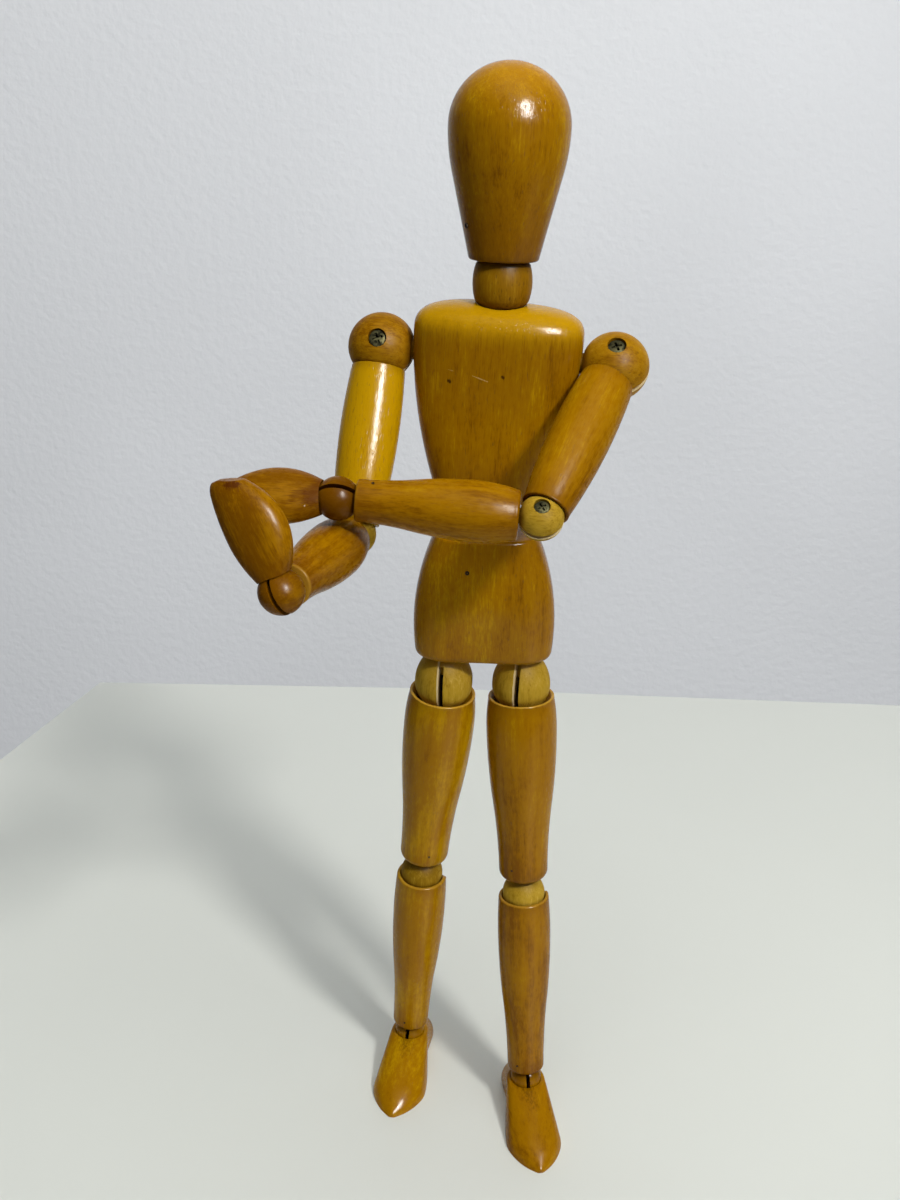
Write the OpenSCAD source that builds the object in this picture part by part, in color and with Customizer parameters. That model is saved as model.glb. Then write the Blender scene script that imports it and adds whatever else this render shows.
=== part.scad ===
// Jointed wooden figure for drawing practice, standing with its arms crossed.
// Every joint is a slotted wooden ball on a turned peg: the peg swivels in one limb,
// and a steel tongue from the next limb swings in the slot on a screw or a pin.
// The figure faces -Y, +Z is up, and the origin is on the floor under the left ankle.

/* [Head and neck] */
// Height of the head from its flat base to the crown
head_h = 45; // [38:0.1:54]
// Largest radius of the head
head_r = 14.5; // [12.5:0.1:17]
// Radius of the flat base of the head
head_base_r = 8.6; // [8:0.1:10]
// Slope of the tapered jaw in degrees
jaw_taper = 13.5; // [12.5:0.1:15]
// Largest radius of the barrel-shaped neck
neck_r = 7.3; // [6.8:0.1:8]
// Radius of the arc that bulges the neck
neck_bulge_r = 14; // [11:0.5:22]
// Radius of the rounded foot of the neck
neck_foot_r = 7.9; // [7.5:0.1:8.6]
// Height of the neck from its pivot to the base of the head
neck_rise = 5; // [4.6:0.1:7]

/* [Chest] */
// Height of the neck pivot above the waist pivot
torso_h = 58.5; // [54:0.1:66]
// Height of the chest's lower rim above the waist pivot
chest_foot = 4.5; // [3.5:0.1:5.5]
// Depth of the chest's top below the neck pivot
chest_top_drop = 5; // [4:0.1:5.6]
// Half width of the chest at its widest
chest_half_w = 21; // [19:0.1:21.2]
// Half width of the chest at its lower rim
chest_foot_half_w = 13.4; // [11:0.1:15]
// Half depth of the chest at its deepest
chest_half_d = 10.4; // [9.8:0.1:11]
// Half depth of the chest at its lower rim
chest_foot_half_d = 9; // [8.4:0.1:11]
// Height over which the shoulders round off
chest_crown_h = 7.6; // [5:0.1:10]
// Height of the shoulder pivots below the neck pivot
shoulder_drop = 18.2; // [16:0.1:22]
// Distance of each shoulder pivot from the middle
shoulder_reach = 29.1; // [29:0.1:31]

/* [Pelvis] */
// Height of the waist pivot above the hip pivots
waist_rise = 50.5; // [46:0.1:56]
// Height of the pelvis's flat base above the hip pivots
pelvis_base = 9.2; // [8.8:0.1:10]
// Half width of the pelvis at its widest
pelvis_half_w = 18.9; // [17.8:0.1:20]
// Half width of the pelvis at its top
pelvis_top_half_w = 13.3; // [11:0.1:15]
// Half depth of the pelvis at its deepest
pelvis_half_d = 9.8; // [9:0.1:12]
// Half depth of the pelvis at its top
pelvis_top_half_d = 8.4; // [8:0.1:9.6]
// Half width of the pelvis at its base
pelvis_base_half_w = 18.3; // [16.6:0.1:19]
// Half depth of the pelvis at its base
pelvis_base_half_d = 9.1; // [8.4:0.1:9.4]
// Height of the pelvis's widest level above its base
pelvis_wide_rise = 9.5; // [7:0.1:11]
// Distance of each hip pivot from the middle
hip_reach = 10.6; // [10.3:0.1:12]

/* [Arms] */
// Length of the upper arm from shoulder pivot to elbow pivot
upper_arm_l = 47.7; // [42:0.1:54]
// Radius of the upper arm at its shoulder rim
upper_arm_top_r = 6.7; // [6:0.1:7.2]
// Radius of the upper arm at its belly
upper_arm_belly_r = 7.4; // [7.2:0.1:8]
// Radius of the upper arm at its elbow rim
upper_arm_low_r = 5.8; // [5.6:0.1:6.6]
// Distance of the shoulder rim from the shoulder pivot
shoulder_rim = 5.2; // [4.8:0.1:6]
// Distance of the upper arm's elbow rim from the elbow pivot
elbow_rim = 2.6; // [2.2:0.1:3.4]
// Length of the forearm from elbow pivot to wrist pivot
forearm_l = 47.3; // [42:0.1:54]
// Radius of the forearm at its elbow end
forearm_top_r = 5.9; // [5.4:0.1:6.4]
// Radius of the forearm at its belly
forearm_belly_r = 7.2; // [6.7:0.1:7.4]
// Radius of the forearm at its wrist end
forearm_low_r = 5; // [4.6:0.1:5.8]

/* [Hands] */
// Length of the hand from wrist pivot to fingertips
hand_l = 27.3; // [24:0.1:31]
// Half width of the hand at its palm
hand_half_w = 7.3; // [6.8:0.1:7.6]
// Half thickness of the hand at its palm
hand_half_t = 4.2; // [3.8:0.1:5]
// Half width of the blunt fingertips
hand_tip_half_w = 3.2; // [2:0.1:4]
// Sideways bow of the fingertips
hand_bow = 1.6; // [0:0.1:2.5]
// Sideways set of the right palm
right_palm_set = 1; // [0:0.1:1.4]
// Sideways set of the left palm
left_palm_set = 0.2; // [0:0.1:0.5]
// Distance of the hand's rim from the wrist pivot
hand_rim = 3.1; // [3:0.1:3.8]

/* [Legs] */
// Length of the thigh from hip pivot to knee pivot
thigh_l = 65.6; // [60:0.1:72]
// Radius of the thigh at its hip rim
thigh_top_r = 9.1; // [8.9:0.1:9.3]
// Radius of the thigh at its belly
thigh_belly_r = 9.8; // [9.5:0.1:9.9]
// Radius of the thigh above the knee
thigh_low_r = 7; // [6.4:0.1:7.6]
// Distance of the hip rim from the hip pivot
hip_rim = 3.3; // [2.6:0.1:4]
// Wall of the thigh's flared hip rim
hip_rim_wall = 0.7; // [0.5:0.1:1]
// Length of the shin from knee pivot to ankle pivot
shin_l = 64.7; // [58:0.1:71]
// Radius of the shin at its knee rim
shin_top_r = 7.3; // [7:0.1:7.5]
// Radius of the shin at its calf
shin_belly_r = 7.7; // [7.6:0.1:8.4]
// Radius of the shin above the ankle
shin_low_r = 5.5; // [5:0.1:6]
// Distance of the knee rim from the knee pivot
knee_rim = 0.8; // [0.6:0.1:1.6]
// Slope of the relief behind the knee rim in degrees
knee_relief = 38; // [34:1:44]

/* [Feet] */
// Height of the ankle pivot above the floor
ankle_h = 11.3; // [10.5:0.1:13]
// Distance from the ankle to the toe
toe_l = 27.2; // [24:0.1:31]
// Distance from the ankle to the back of the heel
heel_l = 14.2; // [12.5:0.1:16]
// Half width of the foot behind the toes
foot_half_w = 8.2; // [7.4:0.1:9.2]
// Half width of the heel
heel_half_w = 6; // [5.4:0.1:6.8]
// Height of the toe cap
toe_h = 6.6; // [5:0.1:8]
// Height of the heel
heel_h = 8.4; // [6.5:0.1:9.5]
// Wood left under the ankle tongue
sole_t = 2.5; // [1.8:0.1:3.2]
// Wall of the foot around the ankle ball
foot_collar_t = 0.9; // [0.7:0.1:1.4]
// Distance of the foot's collar below the ankle pivot
foot_rim = 0.5; // [0.3:0.1:1]

/* [Joint balls] */
// Radius of the shoulder balls
shoulder_ball_r = 8.4; // [8:0.1:8.8]
// Distance from the shoulder pivot to the ball's flat
shoulder_flat = 7.8; // [7.5:0.1:8]
// Radius of the elbow balls
elbow_ball_r = 5.4; // [5.2:0.1:5.6]
// Distance from the elbow pivot to the ball's flat
elbow_flat = 4.8; // [4.6:0.1:5]
// Radius of the wrist balls
wrist_ball_r = 5.2; // [5:0.1:5.4]
// Distance from the wrist pivot to the ball's flat
wrist_flat = 4.2; // [4:0.1:4.6]
// Radius of the waist ball
waist_ball_r = 7.4; // [7:0.1:7.8]
// Distance from the waist pivot to the ball's flat
waist_flat = 5.6; // [5.4:0.1:6]
// Radius of the hip balls
hip_ball_r = 8; // [7.7:0.1:8.2]
// Radius of the knee balls
knee_ball_r = 6.1; // [5.9:0.1:6.3]
// Distance from the knee pivot to the ball's flat
knee_flat = 5.6; // [5.3:0.1:5.8]
// Radius of the ankle balls
ankle_ball_r = 4.6; // [4.4:0.1:4.8]
// Distance from the ankle pivot to the ball's flat
ankle_flat = 3.9; // [3.7:0.1:4.2]

/* [Pegs and brads] */
// Radius of the shoulder pegs
shoulder_peg_r = 2.6; // [2.3:0.1:2.9]
// Length of the shoulder pegs
shoulder_peg_l = 12; // [10:0.5:14]
// Radius of the elbow and wrist pegs
arm_peg_r = 1.9; // [1.7:0.1:2.1]
// Length of the elbow and wrist pegs
arm_peg_l = 8; // [6:0.5:10]
// Radius of the hip pegs
hip_peg_r = 2.6; // [2.3:0.1:2.9]
// Length of the hip pegs
hip_peg_l = 13; // [11:0.5:16]
// Radius of the knee pegs
knee_peg_r = 2.1; // [1.9:0.1:2.3]
// Length of the knee pegs
knee_peg_l = 10; // [8:0.5:12]
// Radius of the ankle pegs
ankle_peg_r = 1.6; // [1.5:0.1:1.8]
// Length of the ankle pegs
ankle_peg_l = 7; // [6:0.5:9]
// Radius of the neck peg
neck_peg_r = 2.6; // [2.3:0.1:3]
// Length of the neck peg
neck_peg_l = 13; // [10:0.5:16]
// Radius of the waist peg
waist_peg_r = 4.4; // [3.8:0.1:4.8]
// Length of the waist peg
waist_peg_l = 17; // [14:0.5:19]
// Depth of the groove that a brad rides in
groove_depth = 0.5; // [0.4:0.05:0.6]
// Radius of the steel brads
brad_r = 0.45; // [0.4:0.05:0.5]

/* [Tongues and screws] */
// Thickness of the steel tongues
tongue_t = 0.9; // [0.8:0.05:1]
// Width of the slots in the joint balls
slot_w = 1.1; // [1.1:0.05:1.3]
// Eye radius of the large tongues at the shoulders, hips, waist and neck
large_eye_r = 3; // [2.8:0.1:3.3]
// Eye radius of the tongues at the elbows and knees
middle_eye_r = 2.4; // [2.2:0.1:2.6]
// Eye radius of the small tongues at the wrists and ankles
small_eye_r = 1.9; // [1.8:0.1:2]
// Depth that a tongue is set into its limb, below the joint ball
tongue_bite = 7; // [5:0.5:8]
// Radius of the shank that carries the shoulder tongue
shank_r = 1.9; // [1.6:0.1:2.2]
// Shank radius of the large screws at the shoulders and hips
large_screw_r = 1.2; // [1:0.05:1.4]
// Head radius of the large screws
large_head_r = 2.05; // [1.9:0.05:2.3]
// Shank radius of the small screws at the elbows and knees
small_screw_r = 1; // [0.9:0.05:1.1]
// Head radius of the small screws
small_head_r = 1.7; // [1.6:0.05:1.8]
// Thickness of the screw heads
head_t = 1.1; // [0.9:0.05:1.3]
// Depth of the screw heads below the ball's surface
head_sink = 0.7; // [0.5:0.05:0.9]
// Radius of the riveted pins at the neck, waist, wrists and ankles
rivet_r = 0.8; // [0.7:0.05:0.9]

/* [Clearances] */
// Gap between a joint ball and the cup that it turns in
cup_gap = 0.3; // [0.2:0.05:0.4]
// Gap between a ball's flat and the limb that it turns on
face_gap = 0.2; // [0.15:0.05:0.3]
// Radial gap of pegs, pins and screws that turn
running_gap = 0.06; // [0.04:0.01:0.1]
// Gap around pieces that are pressed or glued in
seat_gap = 0.02; // [0.01:0.01:0.04]
// Edge radius of the turned rims
edge_r = 0.7; // [0.4:0.1:1]

/* [Stance of the trunk in degrees] */
// Turn of the chest on the pelvis
waist_turn = -4.9; // [-20:0.1:20]
// Bow of the chest at the waist
waist_bend = -2; // [-8:0.1:8]
// Sideways set of the waist tongue, which is bent to the left
waist_lean = 2.2; // [-4:0.1:4]
// Sideways set of the neck tongue, which is bent to the right
neck_lean = -1.6; // [-4:0.1:4]
// Nod of the head
neck_nod = -3; // [-10:0.1:10]
// Turn of the head
head_turn = 0; // [-30:0.1:30]

/* [Stance of the arms in degrees] */
// Swing of the right shoulder
right_shoulder_swing = -27.3; // [-40:0.1:-20]
// Lift of the right shoulder
right_shoulder_lift = 1.5; // [-2:0.1:8]
// Twist of the right upper arm
right_arm_twist = -7.8; // [-16:0.1:2]
// Bend of the right elbow
right_elbow_bend = -66; // [-72:0.1:-50]
// Twist of the right forearm
right_forearm_twist = -27.5; // [-45:0.1:-10]
// Bend of the right wrist
right_wrist_bend = -91.5; // [-95:0.1:-40]
// Swing of the left shoulder
left_shoulder_swing = -51.7; // [-60:0.1:-48]
// Lift of the left shoulder
left_shoulder_lift = 15.9; // [10:0.1:20]
// Twist of the left upper arm
left_arm_twist = -87.5; // [-95:0.1:-80]
// Bend of the left elbow
left_elbow_bend = -72.4; // [-75:0.1:-60]
// Twist of the left forearm
left_forearm_twist = 89.1; // [70:0.1:110]
// Bend of the left wrist
left_wrist_bend = 4; // [-15:0.1:15]

/* [Stance of the legs in degrees] */
// Turn of the right hip
right_hip_turn = -4.2; // [-15:0.1:15]
// Bend of the right hip
right_hip_bend = 1.5; // [-8:0.1:8]
// Sideways set of the right hip tongue
right_hip_splay = 5.4; // [2:0.1:8]
// Turn of the right knee
right_knee_turn = -30; // [-40:0.1:0]
// Turn of the left hip
left_hip_turn = -9.6; // [-15:0.1:15]
// Bend of the left hip
left_hip_bend = -4.5; // [-8:0.1:-3]
// Sideways set of the left hip tongue
left_hip_splay = -3.4; // [-8:0.1:-2]
// Turn of the left knee
left_knee_turn = 0; // [-20:0.1:20]
// Bend of the left knee
left_knee_bend = 0; // [0:0.1:6]
// Heading of the right foot
right_foot_heading = -7.4; // [-20:0.1:10]
// Heading of the left foot
left_foot_heading = 10.4; // [-10:0.1:25]

/* [Hidden] */
$fn = 64;
arc_fn = 720;
hull_fn = 48;
lacquered = "#c8922f";
bare_wood = "#d8bd83";
steel = "#8d8a80";
brass = "#a08a4a";
right = -1;
left = 1;
down = [0, 0, -1, 0];

// Turns and shifts as 4 by 4 matrices
function turn_x(a) = [[1, 0, 0, 0], [0, cos(a), -sin(a), 0], [0, sin(a), cos(a), 0], [0, 0, 0, 1]];
function turn_y(a) = [[cos(a), 0, sin(a), 0], [0, 1, 0, 0], [-sin(a), 0, cos(a), 0], [0, 0, 0, 1]];
function turn_z(a) = [[cos(a), -sin(a), 0, 0], [sin(a), cos(a), 0, 0], [0, 0, 1, 0], [0, 0, 0, 1]];
function shift(v) = [[1, 0, 0, v[0]], [0, 1, 0, v[1]], [0, 0, 1, v[2]], [0, 0, 0, 1]];
function back(m) = [for (i = [0:3]) [for (j = [0:3]) i < 3 && j < 3 ? m[j][i] : (i == j ? 1 : 0)]];
function axis(m, i) = [m[0][i], m[1][i], m[2][i]];

// Directions of the legs below the hips
right_thigh_turn = turn_z(right_hip_turn) * turn_x(right_hip_bend) * turn_y(right_hip_splay);
left_thigh_turn = turn_z(left_hip_turn) * turn_x(left_hip_bend) * turn_y(left_hip_splay);
left_shin_turn = left_thigh_turn * turn_z(left_knee_turn) * turn_x(left_knee_bend);

// The left leg stands, so it sets the height of the hips
left_leg = left_thigh_turn * down * thigh_l + left_shin_turn * down * shin_l;
hips_at = [-hip_reach - left_leg[0], -left_leg[1], ankle_h - left_leg[2]];

// The right knee bends until the right sole meets the floor as well
right_knee_base = right_thigh_turn * turn_z(right_knee_turn);
right_shin_drop = ((right_thigh_turn * down * thigh_l)[2] - left_leg[2]) / shin_l;
knee_lean = axis(right_knee_base, 1)[2];
knee_fall = axis(right_knee_base, 2)[2];
knee_reach = norm([knee_lean, knee_fall]);
right_knee_bend = acos(min(1, right_shin_drop / knee_reach)) - atan2(knee_lean, knee_fall);

// Frames of the trunk
pelvis_frame = shift(hips_at);
waist_frame = pelvis_frame * shift([0, 0, waist_rise]) * turn_z(waist_turn);
waist_tongue_frame = waist_frame * turn_x(waist_bend);
chest_frame = waist_tongue_frame * turn_y(waist_lean);
neck_tongue_frame = chest_frame * shift([0, 0, torso_h]) * turn_y(neck_lean);
neck_frame = neck_tongue_frame * turn_x(neck_nod);
head_frame = neck_frame * turn_z(head_turn);

// Frames of an arm
function of_side(side, of_right, of_left) = side == right ? of_right : of_left;
function shoulder_frame(side) =
    chest_frame * shift([side * shoulder_reach, 0, torso_h - shoulder_drop])
    * turn_x(of_side(side, right_shoulder_swing, left_shoulder_swing));
function arm_tongue_frame(side) =
    shoulder_frame(side) * turn_y(of_side(side, right_shoulder_lift, left_shoulder_lift));
function upper_arm_frame(side) =
    arm_tongue_frame(side) * turn_z(of_side(side, right_arm_twist, left_arm_twist));
function elbow_frame(side) =
    upper_arm_frame(side) * shift([0, 0, -upper_arm_l])
    * turn_x(of_side(side, right_elbow_bend, left_elbow_bend));
function forearm_frame(side) =
    elbow_frame(side) * turn_z(of_side(side, right_forearm_twist, left_forearm_twist));
function hand_frame(side) =
    forearm_frame(side) * shift([0, 0, -forearm_l])
    * turn_x(of_side(side, right_wrist_bend, left_wrist_bend));

// Frames of a leg
function hip_frame(side) =
    pelvis_frame * shift([side * hip_reach, 0, 0]) * turn_z(of_side(side, right_hip_turn, left_hip_turn));
function hip_tongue_frame(side) = hip_frame(side) * turn_x(of_side(side, right_hip_bend, left_hip_bend));
function hip_splay(side) = of_side(side, right_hip_splay, left_hip_splay);
function thigh_frame(side) = hip_tongue_frame(side) * turn_y(hip_splay(side));
function knee_frame(side) =
    thigh_frame(side) * shift([0, 0, -thigh_l]) * turn_z(of_side(side, right_knee_turn, left_knee_turn));
function shin_frame(side) = knee_frame(side) * turn_x(of_side(side, right_knee_bend, left_knee_bend));
// The ankle turns, bends and rolls back until the sole lies flat at its heading
function sole_turns(side) =
    back(shin_frame(side)) * turn_z(of_side(side, right_foot_heading, left_foot_heading));
function ankle_turn(side) = let (m = sole_turns(side)) atan2(-m[0][1], m[1][1]);
function ankle_bend(side) = let (m = sole_turns(side)) asin(m[2][1]);
function ankle_roll(side) = let (m = sole_turns(side)) atan2(-m[2][0], m[2][2]);
function ankle_frame(side) = shin_frame(side) * shift([0, 0, -shin_l]) * turn_z(ankle_turn(side));
function ankle_tongue_frame(side) = ankle_frame(side) * turn_x(ankle_bend(side));
function foot_frame(side) = ankle_tongue_frame(side) * turn_y(ankle_roll(side));

// Sizes that follow from the fits
shoulder_cup_r = shoulder_ball_r + cup_gap;
elbow_cup_r = elbow_ball_r + cup_gap;
wrist_cup_r = wrist_ball_r + cup_gap;
waist_cup_r = waist_ball_r + cup_gap;
hip_cup_r = hip_ball_r + cup_gap;
knee_cup_r = knee_ball_r + cup_gap;
ankle_cup_r = ankle_ball_r + cup_gap;
neck_cup_r = neck_foot_r + cup_gap;
hip_flat = pelvis_base - face_gap;
hip_barrel_share = 1.45;
hip_barrel_r = hip_barrel_share * hip_ball_r;
head_foot = neck_rise + face_gap;
chest_crown = torso_h - chest_top_drop;
chest_wide_at = chest_crown - chest_crown_h;
pelvis_crown = waist_rise - waist_flat - face_gap;
pelvis_wide_at = pelvis_base + pelvis_wide_rise;
web_margin = 0.4;
eye_margin = 0.35;
past_end = 1;
full_turn = 360;
tongue_lap = 1;
skin_t = 0.01;

// Shares and margins that only shape the pieces
upper_arm_belly_at = 0.4;
upper_arm_hollow_at = 0.95;
forearm_belly_at = 0.26;
forearm_hollow_at = 0.55;
thigh_belly_at = 0.16;
thigh_hollow_at = 0.5;
shin_belly_at = 0.2;
shin_hollow_at = 0.5;
recess_arm_share = 1.3;
recess_width_share = 0.33;
screw_depth_share = 0.7;
rivet_hole_share = 0.75;
rivet_pin_share = 0.7;
tongue_share = 0.65;
flat_brad_sink = 0.6;
round_brad_sink = 0.3;

// A circular arc between two heights of a turned profile: its radius
function arc_r(rise, run) = (rise * rise + run * run) / (2 * run);

// Half profile that swells from low_r at low_z to high_r at high_z, upright at high_z
module swelling_half(low_z, low_r, high_z, high_r) {
    rho = arc_r(abs(high_z - low_z), high_r - low_r);
    intersection() {
        translate([high_r - rho, high_z]) circle(rho, $fn = arc_fn);
        translate([0, min(low_z, high_z)]) square([high_r, abs(high_z - low_z)]);
    }
}

// Half profile that hollows from the belly down to an upright end at low_z
module hollow_half(low_z, low_r, high_z, high_r) {
    rho = arc_r(high_z - low_z, high_r - low_r);
    difference() {
        translate([0, low_z]) square([high_r, high_z - low_z]);
        translate([low_r + rho, low_z]) circle(rho, $fn = arc_fn);
    }
}

// Half profile of a flat end with a rounded edge; up is 1 for a top end
module end_half(z, r, up) {
    inner_z = z - up * edge_r;
    translate([r - edge_r, inner_z]) circle(edge_r);
    translate([0, min(z, inner_z)]) square([r - edge_r, edge_r]);
}

// Turned limb: a rim, a belly at belly_at of its length, and a hollowed taper to the low end
module turned_limb(top_z, top_r, belly_r, low_z, low_r, belly_at, hollow_at) {
    high = top_z - edge_r;
    low = low_z + edge_r;
    belly_z = high - belly_at * (high - low);
    hollow_z = belly_z - hollow_at * (belly_z - low);
    hollow_r = belly_r - hollow_at * (belly_r - low_r);
    rotate_extrude() {
        intersection() {
            union() {
                end_half(top_z, top_r, 1);
                swelling_half(high, top_r, belly_z, belly_r);
                swelling_half(hollow_z, hollow_r, belly_z, belly_r);
                hollow_half(low, low_r, hollow_z, hollow_r);
                end_half(low_z, low_r, -1);
            }
            translate([0, low_z]) square([2 * belly_r, top_z - low_z]);
        }
    }
}

// Wooden ball on a peg along +Z, slotted across X so that a tongue can swing about X
module slotted_ball(r, flat, peg_r, peg_l, eye_r, barrel_r = 0) {
    difference() {
        union() {
            ball_blank(r, flat, barrel_r);
            difference() {
                translate([0, 0, eye_r]) cylinder(r = peg_r, h = flat + peg_l - eye_r);
                peg_groove(flat + peg_l / 2, peg_r);
            }
        }
        tongue_slot(r, flat, peg_r, eye_r);
    }
}

// Ball with a flat above, or with its upper half drawn out into a barrel
module ball_blank(r, flat, barrel_r) {
    rotate_extrude() {
        intersection() {
            if (barrel_r == 0) {
                circle(r);
            } else {
                translate([r - barrel_r, 0]) circle(barrel_r, $fn = arc_fn);
            }
            square([r, flat]);
        }
        intersection() {
            circle(r);
            translate([0, -r]) square([r, r]);
        }
    }
}

// Ring groove around a peg, where a brad holds it in and lets it turn
module peg_groove(z, peg_r) {
    groove_w = 2 * brad_r + 4 * running_gap;
    translate([0, 0, z - groove_w / 2]) {
        difference() {
            cylinder(r = peg_r + past_end, h = groove_w);
            translate([0, 0, -past_end]) cylinder(r = peg_r - groove_depth, h = groove_w + 2 * past_end);
        }
    }
}

// Saw cut for a tongue, which leaves a web under the peg
module tongue_slot(r, flat, peg_r, eye_r) {
    web_half = peg_r + web_margin;
    web_z = eye_r + eye_margin;
    difference() {
        translate([-slot_w / 2, -r - past_end, -r - past_end]) {
            cube([slot_w, 2 * (r + past_end), r + past_end + flat]);
        }
        translate([-slot_w, -web_half, web_z]) cube([2 * slot_w, 2 * web_half, flat + past_end]);
    }
}

// Sunk screw across a ball along X, with its head at +X
module screw_hole(r, screw_r, head_r) {
    seat = r - head_sink - head_t;
    rotate([0, 90, 0]) {
        translate([0, 0, seat]) cylinder(r = head_r + running_gap, h = r);
        translate([0, 0, -r]) cylinder(r = screw_r + seat_gap, h = 2 * r);
    }
}

module cross_screw(r, screw_r, head_r) {
    seat = r - head_sink - head_t;
    recess_l = recess_arm_share * head_r;
    recess_w = recess_width_share * head_r;
    depth = screw_depth_share * r;
    color(brass) rotate([0, 90, 0]) difference() {
        union() {
            translate([0, 0, seat]) cylinder(r = head_r, h = head_t);
            translate([0, 0, -depth]) cylinder(r = screw_r, h = seat + depth);
        }
        translate([0, 0, seat + head_t]) {
            cube([recess_l, recess_w, head_t], center = true);
            cube([recess_w, recess_l, head_t], center = true);
        }
    }
}

// Blind cross hole for a riveted pin
module rivet_hole(r) {
    depth = rivet_hole_share * r;
    rotate([0, 90, 0]) translate([0, 0, -depth]) cylinder(r = rivet_r + running_gap, h = 2 * depth);
}

// Flat steel tongue with its eye on X and its strip along -Z
module tongue_plate(eye_r, reach) {
    rotate([0, 90, 0]) translate([0, 0, -tongue_t / 2]) cylinder(r = eye_r, h = tongue_t);
    half = tongue_half(eye_r);
    translate([-tongue_t / 2, -half, -reach]) cube([tongue_t, 2 * half, reach]);
}

function tongue_half(eye_r) = tongue_share * eye_r;

module screwed_tongue(eye_r, reach, screw_r) {
    color(steel) difference() {
        tongue_plate(eye_r, reach);
        rotate([0, 90, 0]) translate([0, 0, -past_end]) {
            cylinder(r = screw_r + running_gap, h = 2 * past_end);
        }
    }
}

module riveted_tongue(eye_r, reach, ball_r) {
    pin_l = 2 * rivet_pin_share * ball_r;
    color(steel) {
        tongue_plate(eye_r, reach);
        rotate([0, 90, 0]) translate([0, 0, -pin_l / 2]) cylinder(r = rivet_r, h = pin_l);
    }
}

// A tongue that is bent sideways bends just outside its ball, in the frame of the limb that holds it
function bend_at(ball_r) = ball_r + cup_gap + tongue_lap;

module bent_tail(eye_r, ball_r, reach, bend) {
    half = tongue_half(eye_r);
    start = bend_at(ball_r) - tongue_lap / 2;
    color(steel) translate([bend_at(ball_r) * sin(bend) - tongue_t / 2, -half, -reach]) {
        cube([tongue_t, 2 * half, reach - start]);
    }
}

module bent_pocket(eye_r, ball_r, reach, bend) {
    multmatrix(turn_y(-bend)) tongue_pocket(eye_r, bend_at(ball_r) + tongue_lap / 2);
    translate([bend_at(ball_r) * sin(bend), 0, 0]) tongue_pocket(eye_r, reach);
}

// Pocket in a limb for a tongue that is set into it
module tongue_pocket(eye_r, reach) {
    half = tongue_half(eye_r) + seat_gap;
    translate([-tongue_t / 2 - seat_gap, -half, -reach - seat_gap]) {
        cube([tongue_t + 2 * seat_gap, 2 * half, reach + seat_gap]);
    }
}

// Bore for a peg that enters along +Z from z = start
module peg_bore(start, peg_r, peg_l) {
    depth = peg_l + 2 * face_gap;
    translate([0, 0, start - past_end]) cylinder(r = peg_r + running_gap, h = past_end + depth);
}

// Brad along Y from y = -skin, which passes beside the peg's axis in its groove
function brad_side(peg_r) = peg_r - groove_depth + brad_r + running_gap;

module brad(skin, z, peg_r, inner = 1) {
    brad_l = skin + peg_r;
    translate([inner * brad_side(peg_r), -skin, z]) rotate([-90, 0, 0]) {
        cylinder(r = brad_r, h = brad_l);
    }
}

module brad_hole(skin, z, peg_r, inner = 1) {
    hole_l = skin + peg_r + seat_gap;
    translate([inner * brad_side(peg_r), -skin - past_end, z]) rotate([-90, 0, 0]) {
        cylinder(r = brad_r + seat_gap, h = hole_l + past_end);
    }
}

// Outline with rounded sides, for the slices of the carved pieces
function slice_point(a, half_w, half_d, power) = [
    half_w * sign(cos(a)) * pow(abs(cos(a)), 2 / power),
    half_d * sign(sin(a)) * pow(abs(sin(a)), 2 / power)
];

module slice(z, half_w, half_d, power) {
    translate([0, 0, z]) linear_extrude(skin_t) {
        polygon([for (i = [0:hull_fn - 1]) slice_point(full_turn * i / hull_fn, half_w, half_d, power)]);
    }
}

// Half depth of such an outline at a distance x from its middle
function slice_depth(x, half_w, half_d, power) = half_d * rounded_share(abs(x) / half_w, power);

// Share of the full width that is left at a height t, from 0 to 1, in a rounded end
function rounded_share(t, power) = pow(max(0, 1 - pow(t, power)), 1 / power);

// Share of a taper that starts level
function ease(t) = pow(t, 2);

// Head and neck
head_brad_rise = 8.1;
head_brad_turn = -68;
head_brad_z = head_foot + head_brad_rise;
head_brad_skin = head_base_r + head_brad_rise * tan(jaw_taper) - flat_brad_sink;

module head_blank() {
    crown_z = head_foot + head_h - head_r;
    rise = crown_z - head_foot - edge_r;
    rho = (rise * tan(jaw_taper) - (head_r - head_base_r)) / (1 / cos(jaw_taper) - 1);
    knee_z = crown_z - rho * sin(jaw_taper);
    knee_r = head_r - rho * (1 - cos(jaw_taper));
    rotate_extrude() {
        intersection() {
            union() {
                translate([0, crown_z]) circle(head_r);
                swelling_half(knee_z, knee_r, crown_z, head_r);
                polygon([
                    [0, head_foot + edge_r],
                    [head_base_r, head_foot + edge_r],
                    [knee_r, knee_z],
                    [0, knee_z]
                ]);
                end_half(head_foot, head_base_r, -1);
            }
            translate([0, head_foot]) square([head_r, head_h]);
        }
    }
}

module head() {
    color(lacquered) multmatrix(head_frame) difference() {
        head_blank();
        peg_bore(head_foot, neck_peg_r, neck_peg_l);
        rotate([0, 0, head_brad_turn]) brad_hole(head_brad_skin, head_brad_z, neck_peg_r);
    }
}

module head_brad() {
    color(steel) multmatrix(head_frame) rotate([0, 0, head_brad_turn]) {
        brad(head_brad_skin, head_brad_z, neck_peg_r);
    }
}

slot_run_out = 2;

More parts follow.
